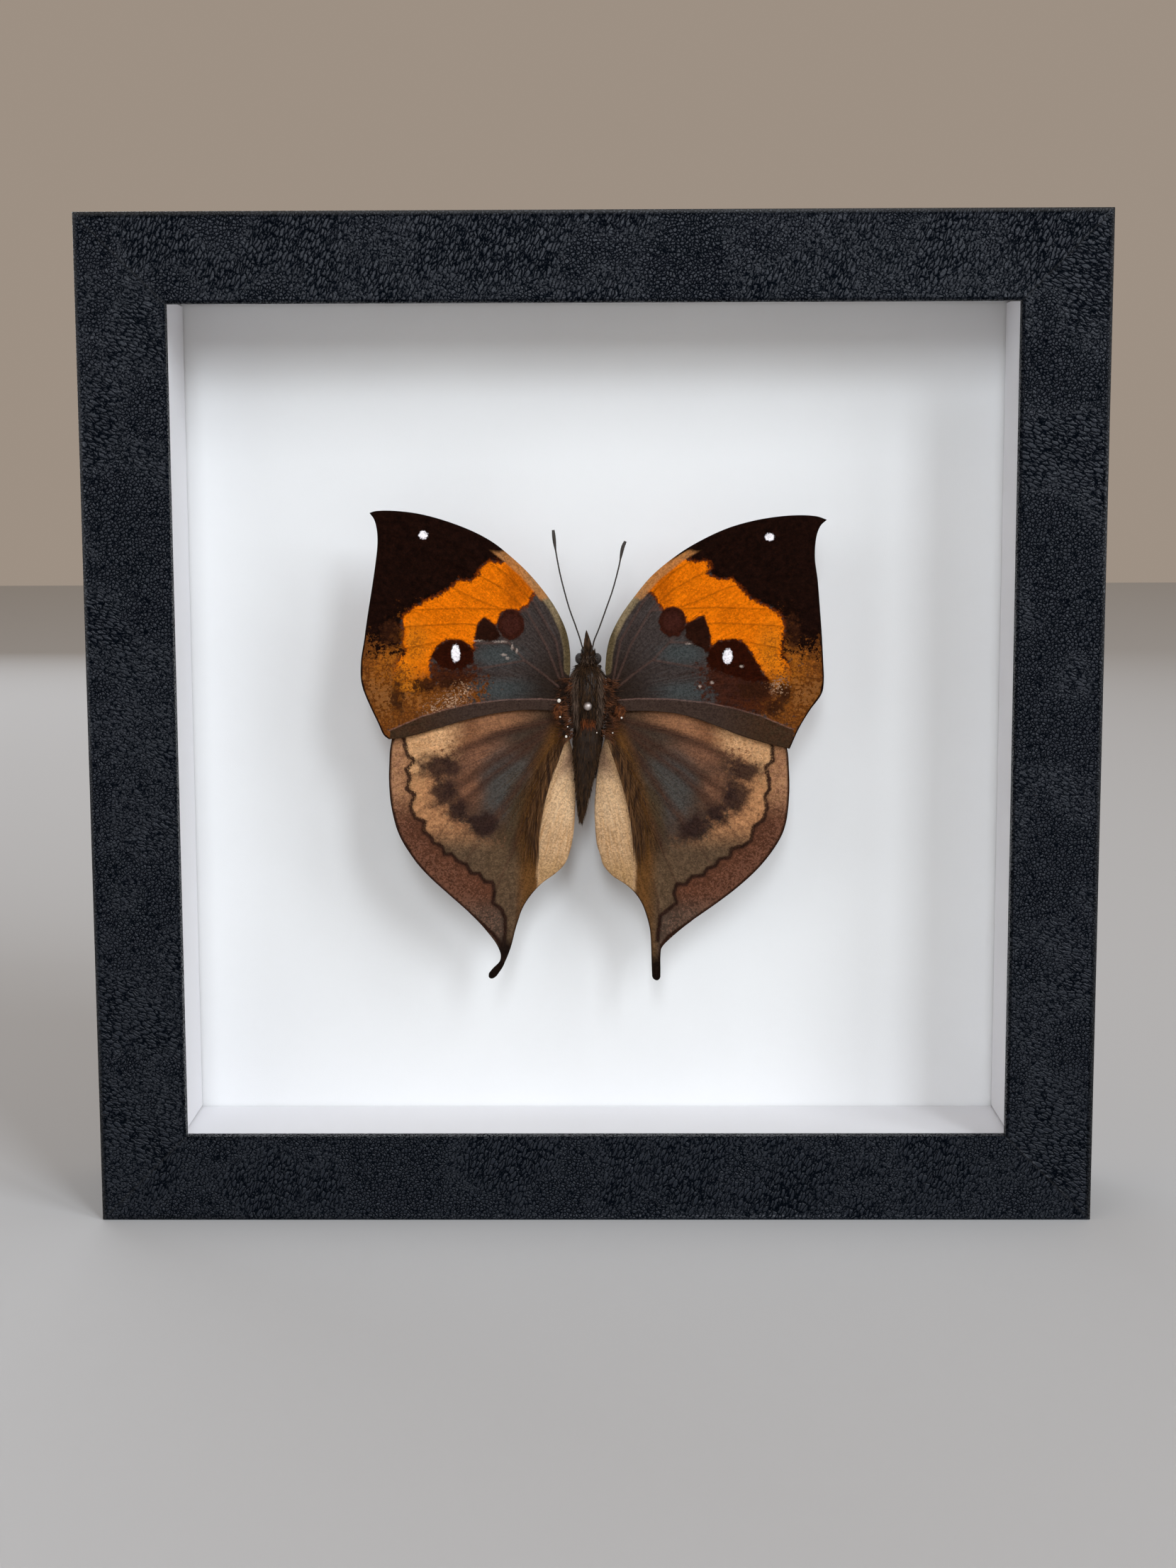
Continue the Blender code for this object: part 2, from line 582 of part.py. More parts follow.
def build_body(parts, tools, material):
    """Head, eyes, palps, thorax, abdomen and folded legs, joined into one grown piece."""
    thorax = ball_mesh("thorax", THORAX_HALF, segments=24, rings=16)
    body = new_object("body", thorax, parts, material, specimen_place(THORAX_PLACE))
    head_place = specimen_place(HEAD_PLACE)
    joined = [new_object("head", ball_mesh("head", HEAD_HALF), tools, place=head_place)]
    eye = ball_mesh("eye", Vector((0.8, 1, 1)) * EYE_RADIUS, segments=16, rings=10)
    palp = [(radius * MM, height * MM) for radius, height in PALP_SIDE]
    for side in (-1, 1):
        eye_place = head_place + Vector((side * EYE_SPREAD, -EYE_FORWARD, 0))
        joined.append(new_object("eye", eye, tools, place=eye_place))
        palp_place = head_place + Vector((side * PALP_SPREAD, 0, 0))
        joined.append(turned_object("palp", palp, tools, place=palp_place,
                                    turn=(0, -side * PALP_LEAN, 0), sides=12))
    abdomen = turned_object("abdomen", abdomen_profile(), tools, place=specimen_place(ABDOMEN_TOP),
                            turn=(0, ABDOMEN_LEAN, 0), sides=20)
    abdomen.scale = (1, ABDOMEN_FLATTEN, 1)
    joined.append(abdomen)
    for leg, route in LEG_ROUTES.items():
        for side in (1, -1):
            corners = [specimen_place(Vector((side * x, y, z)) * MM) for x, y, z in route]
            radii = [LEG_RADIUS * (1.25 - 0.18 * index) for index in range(len(corners))]
            tube = tube_curve("leg", corners, radii, tools, sides=1)
            bpy.context.view_layer.update()
            joined.append(new_object(f"leg {leg}", curve_to_mesh(tube), tools))
    for piece in joined:
        add_boolean(body, hide_tool(piece), "UNION")
    return body


def build_antennae(parts, material):
    """Thin stalks that end in clubs."""
    for name, points in (("antenna_left", ANTENNA_LEFT), ("antenna_right", ANTENNA_RIGHT)):
        route = [specimen_place(place * MM) for place in smooth_path(points, ANTENNA_STEPS)]
        radii = []
        for index in range(len(route)):
            into_club = max(0.0, (index / ANTENNA_STEPS - (1 - CLUB_SHARE)) / CLUB_SHARE)
            radii.append(ANTENNA_RADIUS + (CLUB_RADIUS - ANTENNA_RADIUS) * math.sin(into_club * 2.4))
        antenna = tube_curve(name, route, radii, parts, sides=2)
        antenna.data.materials.append(material)


def build_pin(parts, tools, steel, body, mount_board):
    """An insect pin through the thorax, with its point in the mount board."""
    board_face = FRONT_Y + MOUNT_BOARD_FACE
    head_y = WING_PLANE_Y + PIN_HEAD_Y
    length = board_face + PIN_IN_BOARD - head_y
    neck = math.degrees(math.acos(PIN_RADIUS / PIN_HEAD_RADIUS))
    head = arc((0, -PIN_HEAD_RADIUS), PIN_HEAD_RADIUS, 90, -neck, 7)
    profile = [(0.0, 0.0), *head[1:], (PIN_RADIUS, -length + PIN_POINT), (0.0, -length)]
    place = (PIN_X, head_y, PIN_Z)
    turned_object("pin", profile, parts, steel, place, FACE_THE_GLASS, sides=12)
    body_bore = cylinder_tool("pin hole in the body", PIN_HOLE_RADIUS, 30 * MM, tools, place)
    add_boolean(body, body_bore)
    hole_depth = PIN_IN_BOARD + GAP
    hole_place = (PIN_X, board_face + hole_depth / 2 - 0.5 * MM, PIN_Z)
    board_bore = cylinder_tool("pin hole in the board", PIN_HOLE_RADIUS, hole_depth + MM, tools, hole_place)
    add_boolean(mount_board, board_bore)


def main():
    """Build the box and then the specimen."""
    clear_scene()
    parts = new_collection("framed butterfly specimen")
    tools = new_collection("cutters and joined forms")
    leatherette = new_material("black leatherette", (0.03, 0.033, 0.04), 0.55)
    board = new_material("white board", (0.88, 0.88, 0.9), 0.8)
    glass = new_material("clear glass", (0.9, 0.95, 0.93), 0.05)
    panel = new_material("hardboard", (0.25, 0.15, 0.08), 0.8)
    steel = new_material("steel", (0.55, 0.55, 0.55), 0.35, 1.0)
    brass = new_material("brass plated steel", (0.7, 0.5, 0.22), 0.35, 1.0)
    forewing = new_material("forewing scales", (0.3, 0.11, 0.03), 0.7)
    hindwing = new_material("hindwing scales", (0.11, 0.075, 0.055), 0.7)
    hair = new_material("dark body hair", (0.045, 0.03, 0.022), 0.8)

    rails = build_rails(parts, tools, leatherette)
    boards = build_boards(parts, glass, board, panel)
    build_liners(parts, board)
    build_points(parts, tools, steel)
    build_hanger(parts, tools, brass, rails)
    build_wings(parts, forewing, hindwing)
    body = build_body(parts, tools, hair)
    build_antennae(parts, hair)
    build_pin(parts, tools, steel, body, boards["mount_board"])


main()
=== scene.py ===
"""Looks of the framed butterfly specimen: a leatherette shadow box with a pinned oakleaf butterfly.

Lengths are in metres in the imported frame's axes. Wing outlines, veins and markings are in
millimetres right of and above the pin, as a setter would measure them on the specimen.
"""

import logging
import math
from collections.abc import Callable, Iterable
from dataclasses import dataclass
from enum import Enum

import bmesh
import bpy
import numpy as np
from mathutils import Matrix, Vector

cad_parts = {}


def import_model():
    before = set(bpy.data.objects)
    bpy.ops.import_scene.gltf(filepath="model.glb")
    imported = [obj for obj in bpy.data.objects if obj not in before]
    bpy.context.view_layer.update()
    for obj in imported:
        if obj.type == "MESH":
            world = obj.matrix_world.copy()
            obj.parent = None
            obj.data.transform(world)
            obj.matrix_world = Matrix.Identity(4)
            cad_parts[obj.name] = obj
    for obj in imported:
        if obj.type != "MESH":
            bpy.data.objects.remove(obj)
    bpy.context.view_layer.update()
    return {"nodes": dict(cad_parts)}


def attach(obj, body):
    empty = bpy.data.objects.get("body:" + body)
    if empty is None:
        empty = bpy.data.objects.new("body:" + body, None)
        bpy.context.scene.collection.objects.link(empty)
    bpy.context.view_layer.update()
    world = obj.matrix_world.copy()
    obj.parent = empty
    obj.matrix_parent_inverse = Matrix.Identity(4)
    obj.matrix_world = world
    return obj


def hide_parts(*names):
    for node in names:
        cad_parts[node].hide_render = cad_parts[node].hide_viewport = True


LOG = logging.getLogger("framed_butterfly")

MM = 0.001
BODY = "root"
RIGHT_ANGLE = math.pi / 2
PATH_STEPS = 12

Path = tuple[tuple[float, ...], ...]
Inputs = dict[str | int, object]


def mirrored(path: Path, widen: float = 1.0) -> Path:
    """The path on the other side of the pin, with its distances from the pin's line widened."""
    return tuple((-x * widen, *rest) for x, *rest in path)


def linear(colour: str) -> tuple[float, float, float, float]:
    """Turn an sRGB hex value to linear colour.

    Args:
        colour: The colour as "#rrggbb".

    Returns:
        Red, green, blue and an alpha of 1.
    """
    shares = [int(colour[at:at + 2], 16) / 255 for at in (1, 3, 5)]
    return (*(s / 12.92 if s <= 0.04045 else ((s + 0.055) / 1.055) ** 2.4 for s in shares), 1.0)


def add_node(tree: bpy.types.NodeTree, kind: str, inputs: Inputs | None = None, **settings: object):
    """Add a shader node.

    Args:
        tree: The material's node tree.
        kind: The node's type, without its "ShaderNode".
        inputs: A value or an output socket for each named or numbered input.
        settings: Values for the node's own options.

    Returns:
        The node.
    """
    node = tree.nodes.new(f"ShaderNode{kind}")
    for option, value in settings.items():
        setattr(node, option, value)
    for socket, value in (inputs or {}).items():
        if isinstance(value, bpy.types.NodeSocket):
            tree.links.new(value, node.inputs[socket])
        else:
            node.inputs[socket].default_value = value
    return node


def new_material(name: str) -> tuple[bpy.types.Material, bpy.types.NodeTree, bpy.types.Node]:
    """Start a material.

    Args:
        name: The material's name.

    Returns:
        The material, its node tree and its Principled node.
    """
    material = bpy.data.materials.new(name)
    material.use_nodes = True
    return material, material.node_tree, material.node_tree.nodes["Principled BSDF"]


def tone_mix(tree: bpy.types.NodeTree, share: object, low: object, high: object):
    """Blend two colours, given as hex values or sockets, and return the output socket."""
    low, high = (linear(tone) if isinstance(tone, str) else tone for tone in (low, high))
    return add_node(tree, "Mix", {0: share, 6: low, 7: high}, data_type="RGBA").outputs[2]


def object_coordinates(tree: bpy.types.NodeTree, cell_mm: Iterable[float],
                       turn: float = 0.0) -> bpy.types.NodeSocket:
    """Object coordinates in which one unit is a pattern's cell.

    Args:
        tree: The material's node tree.
        cell_mm: The cell's size along X, Y and Z in millimetres.
        turn: The cell's turn about Y, in degrees.

    Returns:
        The vector socket.
    """
    inputs = {"Vector": add_node(tree, "TexCoord").outputs["Object"], "Rotation": (0.0, math.radians(turn), 0.0),
              "Scale": tuple(size * MM for size in cell_mm)}
    return add_node(tree, "Mapping", inputs, vector_type="TEXTURE").outputs["Vector"]


class Lie(Enum):
    """Which way a rail runs, and so which way its wrap is creased."""

    LEVEL = "level"
    UPRIGHT = "upright"


@dataclass(frozen=True)
class Leatherette:
    """PVC leatherette, embossed with a pebble grain and stretched over wood.

    The pebbles are satin and the creases between them dull, so it glitters softly towards the light. Its creases are
    painted darker as painted shade; its outer front edge is painted a lighter grey, partly for wear and partly as
    painted highlight, and its mitre ridges a little lighter as painted highlight.
    """

    lie: Lie
    pebble: str = "#10161f"
    crease_shade: str = "#000102"
    wear_and_highlight: str = "#6d6c6a"
    grain_mm: float = 0.66
    stretch: float = 2.8
    lean: float = 22.0
    relief_mm: float = 0.13
    ridge_mm: float = 0.5

    def material(self) -> bpy.types.Material:
        """Build the material.

        Returns:
            Leatherette whose creases run across the rail.
        """
        material, tree, shader = new_material(f"pebbled leatherette, {self.lie.value}")
        along = self.grain_mm * self.stretch
        cell = (along, self.grain_mm, self.grain_mm)
        if self.lie is Lie.LEVEL:
            cell = (self.grain_mm, self.grain_mm, along)
        # Between these two grains, patches of round pebbles and patches of creases take turns
        rounds = object_coordinates(tree, (self.grain_mm,) * 3)
        creased = object_coordinates(tree, cell, self.lean)
        patches = add_node(tree, "TexNoise", {"Vector": object_coordinates(tree, (14, 14, 14)), "Scale": 1.0,
                                              "Detail": 1.0})
        patch = add_node(tree, "MapRange", {0: patches.outputs["Fac"], 1: 0.42, 2: 0.6}).outputs[0]
        wander = add_node(tree, "TexNoise", {"Vector": rounds, "Scale": 0.8, "Detail": 2.0})
        heights = []
        for place in (rounds, creased):
            bent = add_node(tree, "VectorMath", {0: place, 1: wander.outputs["Color"]}).outputs[0]
            cells = add_node(tree, "TexVoronoi", {"Vector": bent, "Scale": 1.0}, feature="DISTANCE_TO_EDGE")
            heights.append(add_node(tree, "MapRange", {0: cells.outputs["Distance"], 2: 0.3},
                                    interpolation_type="SMOOTHSTEP").outputs[0])
        height = add_node(tree, "Mix", {0: patch, 2: heights[0], 3: heights[1]}).outputs[0]
        fine = add_node(tree, "TexNoise", {"Vector": rounds, "Scale": 2.6, "Detail": 3.0}).outputs["Fac"]
        height = add_node(tree, "Math", {0: fine, 1: 0.45, 2: height}, operation="MULTIPLY_ADD").outputs[0]

        ridge = self.mitre_ridge(tree)
        raised = add_node(tree, "Math", {0: ridge, 1: 0.9, 2: height}, operation="MULTIPLY_ADD").outputs[0]
        bump = add_node(tree, "Bump", {"Height": raised, "Distance": self.relief_mm * MM, "Strength": 0.9})
        # The creases get the darker colour: painted shade where the grain dips.
        colour = tone_mix(tree, height, self.crease_shade, self.pebble)
        # The mitre ridges are lightened a little towards the grey as painted highlight; the outer front edge more, as
        # wear with painted highlight.
        wear_and_highlight_share = add_node(tree, "Math", {0: ridge, 1: 0.06}, operation="MULTIPLY").outputs[0]
        wear_and_highlight_share = add_node(tree, "Math", {0: wear_and_highlight_share, 1: self.arris(tree)}, operation="MAXIMUM").outputs[0]
        tree.links.new(tone_mix(tree, wear_and_highlight_share, colour, self.wear_and_highlight), shader.inputs["Base Color"])
        tree.links.new(add_node(tree, "MapRange", {0: height, 3: 0.6, 4: 0.36}).outputs[0],
                       shader.inputs["Roughness"])
        tree.links.new(add_node(tree, "MapRange", {0: height, 1: 0.3, 2: 0.85, 3: 0.0, 4: 0.3}).outputs[0],
                       shader.inputs["Specular IOR Level"])
        tree.links.new(bump.outputs["Normal"], shader.inputs["Normal"])
        return material

    def arris(self, tree: bpy.types.NodeTree):
        """How far a point is round the front's outer edge, which is painted a lighter grey: partly wear from
        handling, partly painted highlight.

        Args:
            tree: The material's node tree.

        Returns:
            A socket from 0 on the face to the edge's share of wear and painted highlight.
        """
        place = add_node(tree, "SeparateXYZ", {0: add_node(tree, "TexCoord").outputs["Object"]})
        across = add_node(tree, "Math", {0: place.outputs["X"]}, operation="ABSOLUTE").outputs[0]
        sides = add_node(tree, "MapRange", {0: across, 1: 0.0990, 2: 0.0998, 4: 0.2}).outputs[0]
        # The top edge gets more grey than the sides: painted highlight where the light falls from above.
        top = add_node(tree, "MapRange", {0: place.outputs["Z"], 1: 0.1990, 2: 0.1998, 4: 0.35}).outputs[0]
        edge = add_node(tree, "Math", {0: sides, 1: top}, operation="MAXIMUM").outputs[0]
        front = add_node(tree, "MapRange", {0: place.outputs["Y"], 1: -0.0200, 2: -0.0208}).outputs[0]
        return add_node(tree, "Math", {0: edge, 1: front}, operation="MULTIPLY").outputs[0]

    def mitre_ridge(self, tree: bpy.types.NodeTree):
        """How near a point of the front is to a mitre, where the wrap is folded under and stands up.

        Args:
            tree: The material's node tree.

        Returns:
            A socket from 0 on the rail to 1 on the mitre.
        """
        place = add_node(tree, "SeparateXYZ", {0: add_node(tree, "TexCoord").outputs["Object"]})
        across = add_node(tree, "Math", {0: place.outputs["X"]}, operation="ABSOLUTE").outputs[0]
        above = add_node(tree, "Math", {0: place.outputs["Z"], 1: 0.1}, operation="SUBTRACT").outputs[0]
        above = add_node(tree, "Math", {0: above}, operation="ABSOLUTE").outputs[0]
        off = add_node(tree, "Math", {0: across, 1: above}, operation="SUBTRACT").outputs[0]
        off = add_node(tree, "Math", {0: off}, operation="ABSOLUTE").outputs[0]
        return add_node(tree, "MapRange", {0: off, 1: self.ridge_mm * MM, 2: 0.0},
                        interpolation_type="SMOOTHSTEP").outputs[0]


@dataclass(frozen=True)
class CoatedBoard:
    """White-cored art board with a smooth coated face: matt and almost even, with a faint tooth."""

    name: str
    face: str = "#f0f0f1"
    shade: str = "#e9e9ea"
    tooth_mm: float = 0.35

    def material(self) -> bpy.types.Material:
        """Build the material.

        Returns:
            Board with a faint cloudiness and tooth.
        """
        material, tree, shader = new_material(self.name)
        cloud = add_node(tree, "TexNoise", {"Vector": object_coordinates(tree, (30, 30, 30)), "Scale": 1.0,
                                              "Detail": 2.0})
        tooth = add_node(tree, "TexNoise", {"Vector": object_coordinates(tree, (self.tooth_mm,) * 3),
                                            "Scale": 1.0, "Detail": 3.0})
        tree.links.new(tone_mix(tree, cloud.outputs["Fac"], self.face, self.shade), shader.inputs["Base Color"])
        bump = add_node(tree, "Bump", {"Height": tooth.outputs["Fac"], "Distance": 0.012 * MM})
        tree.links.new(bump.outputs["Normal"], shader.inputs["Normal"])
        shader.inputs["Roughness"].default_value = 0.85
        shader.inputs["Specular IOR Level"].default_value = 0.2
        return material


@dataclass(frozen=True)
class CoatedGlass:
    """Anti-reflection coated picture glass: nearly unseen, with a faint mirror at low angles."""

    tint: str = "#fcfcfb"
    mirror: float = 0.6

    def material(self) -> bpy.types.Material:
        """Build the material.

        Returns:
            Clear glass that lets light straight through, and mirrors more the lower it is looked along.
        """
        material, tree, shader = new_material("coated picture glass")
        tree.nodes.remove(shader)
        clear = add_node(tree, "BsdfTransparent", {"Color": linear(self.tint)})
        mirror = add_node(tree, "BsdfGlossy", {"Color": linear(self.tint), "Roughness": 0.03})
        grazing = add_node(tree, "LayerWeight", {"Blend": 0.5}).outputs["Facing"]
        share = add_node(tree, "Math", {0: grazing, 1: 5.0}, operation="POWER").outputs[0]
        share = add_node(tree, "Math", {0: share, 1: self.mirror}, operation="MULTIPLY").outputs[0]
        pane = add_node(tree, "MixShader", {0: share, 1: clear.outputs[0], 2: mirror.outputs[0]})
        tree.links.new(pane.outputs[0], tree.nodes["Material Output"].inputs["Surface"])
        return material


@dataclass(frozen=True)
class Hardboard:
    """Hardboard of pressed wood fibre: warm brown, with short matted fibres on the rough side."""

    fibre: str = "#8a6238"
    matrix: str = "#5e3d20"
    fibre_mm: tuple[float, float, float] = (3.0, 1.0, 0.3)

    def material(self) -> bpy.types.Material:
        """Build the material.

        Returns:
            Hardboard with three layers of fibres, each lying its own way.
        """
        material, tree, shader = new_material("pressed fibre hardboard")
        layers = [add_node(tree, "TexNoise", {"Vector": object_coordinates(tree, self.fibre_mm, turn), "Scale": 1.0,
                                              "Detail": 4.0, "Distortion": 1.2}).outputs["Fac"]
                  for turn in (18.0, 77.0, -41.0)]
        mat = add_node(tree, "Math", {0: layers[0], 1: layers[1]}, operation="MAXIMUM").outputs[0]
        mat = add_node(tree, "Math", {0: mat, 1: layers[2]}, operation="MAXIMUM").outputs[0]
        share = add_node(tree, "MapRange", {0: mat, 1: 0.42, 2: 0.8}).outputs[0]
        tree.links.new(tone_mix(tree, share, self.matrix, self.fibre), shader.inputs["Base Color"])
        bump = add_node(tree, "Bump", {"Height": mat, "Distance": 0.15 * MM})
        tree.links.new(bump.outputs["Normal"], shader.inputs["Normal"])
        shader.inputs["Roughness"].default_value = 0.8
        return material


@dataclass(frozen=True)
class StampedMetal:
    """Thin sheet or wire that was stamped and plated: satin, with fine drawn lines and dull patches."""

    name: str
    bright: str
    dull: str
    roughness: float = 0.34
    lines_mm: tuple[float, float, float] = (6.0, 0.3, 0.12)

    def material(self) -> bpy.types.Material:
        """Build the material.

        Returns:
            Metal with drawn lines along X.
        """
        material, tree, shader = new_material(self.name)
        lines = add_node(tree, "TexNoise", {"Vector": object_coordinates(tree, self.lines_mm), "Scale": 1.0,
                                             "Detail": 2.0})
        patches = add_node(tree, "TexNoise", {"Vector": object_coordinates(tree, (4, 4, 4)), "Scale": 1.0,
                                                "Detail": 3.0})
        tree.links.new(tone_mix(tree, patches.outputs["Fac"], self.dull, self.bright),
                       shader.inputs["Base Color"])
        tree.links.new(add_node(tree, "MapRange", {0: lines.outputs["Fac"], 3: self.roughness - 0.1,
                                                   4: self.roughness + 0.14}).outputs[0],
                       shader.inputs["Roughness"])
        bump = add_node(tree, "Bump", {"Height": lines.outputs["Fac"], "Distance": 0.01 * MM})
        tree.links.new(bump.outputs["Normal"], shader.inputs["Normal"])
        shader.inputs["Metallic"].default_value = 1.0
        return material


@dataclass(frozen=True)
class Hair:
    """Dry insect hair: dull strands whose tone changes from one to the next."""

    name: str
    dark: str
    light: str
    strand_mm: tuple[float, float, float] = (0.35, 0.35, 2.5)
    roughness: float = 0.6

    def material(self) -> bpy.types.Material:
        """Build the material.

        Returns:
            Hair whose tone varies quickly across the strands and slowly along them.
        """
        material, tree, shader = new_material(self.name)
        tone = add_node(tree, "TexNoise", {"Vector": object_coordinates(tree, self.strand_mm), "Scale": 1.0,
                                             "Detail": 2.0})
        share = add_node(tree, "MapRange", {0: tone.outputs["Fac"], 1: 0.38, 2: 0.68}).outputs[0]
        tree.links.new(tone_mix(tree, share, self.dark, self.light), shader.inputs["Base Color"])
        shader.inputs["Roughness"].default_value = self.roughness
        shader.inputs["Specular IOR Level"].default_value = 0.12
        return material


@dataclass(frozen=True)
class Chitin:
    """Bare insect skin: hard and smooth, with a dull shine."""

    name: str
    low: str
    high: str
    mottle_mm: float = 0.5
    roughness: float = 0.38

    def material(self) -> bpy.types.Material:
        """Build the material.

        Returns:
            Mottled skin with a fine grain.
        """
        material, tree, shader = new_material(self.name)
        mottle = add_node(tree, "TexNoise", {"Vector": object_coordinates(tree, (self.mottle_mm,) * 3),
                                               "Scale": 1.0, "Detail": 4.0})
        tree.links.new(tone_mix(tree, mottle.outputs["Fac"], self.low, self.high), shader.inputs["Base Color"])
        bump = add_node(tree, "Bump", {"Height": mottle.outputs["Fac"], "Distance": 0.03 * MM})
        tree.links.new(bump.outputs["Normal"], shader.inputs["Normal"])
        shader.inputs["Roughness"].default_value = self.roughness
        shader.inputs["Specular IOR Level"].default_value = 0.2
        return material


@dataclass(frozen=True)
class CompoundEye:
    """An insect's eye: a dark dome of six-sided facets, which gives a broken highlight."""

    facet: str = "#15100d"
    rim: str = "#2b1d14"
    facet_mm: float = 0.09

    def material(self) -> bpy.types.Material:
        """Build the material.

        Returns:
            Facets drawn three times as coarse as real ones, so that they show.
        """
        material, tree, shader = new_material("compound eye")
        cells = add_node(tree, "TexVoronoi", {"Vector": object_coordinates(tree, (self.facet_mm,) * 3), "Scale": 1.0},
                         feature="DISTANCE_TO_EDGE").outputs["Distance"]
        share = add_node(tree, "MapRange", {0: cells, 2: 0.2}).outputs[0]
        tree.links.new(tone_mix(tree, share, self.rim, self.facet), shader.inputs["Base Color"])
        bump = add_node(tree, "Bump", {"Height": share, "Distance": 0.02 * MM})
        tree.links.new(bump.outputs["Normal"], shader.inputs["Normal"])
        shader.inputs["Roughness"].default_value = 0.22
        return material


class Texture(Enum):
    """What breaks up a marking's edge and mixes its two tones."""

    CLOUD = "cloud"
    MOTTLE = "mottle"
    DUST = "dust"
    STREAK = "streak"


@dataclass(frozen=True)
class Marking:
    """One patch of wing scales, painted over the ones before it.

    Attributes:
        measure: The wing's measure that it follows, in millimetres, which is greater inside.
        colour: Its main tone.
        fleck: The tone mixed into it.
        start: The value of the measure at its edge.
        soft: The width in millimetres over which it comes in.
        ruffle: How far its edge wanders, in millimetres.
        texture: What ruffles the edge and mixes the tones.
        cover: How much it hides what is under it.
        within: Another measure and the value past which the marking is kept, and that edge's softness.
    """

    measure: str
    colour: str
    fleck: str
    start: float = 0.0
    soft: float = 0.2
    ruffle: float = 0.0
    texture: Texture = Texture.CLOUD
    cover: float = 1.0
    within: tuple[str, float, float] | None = None


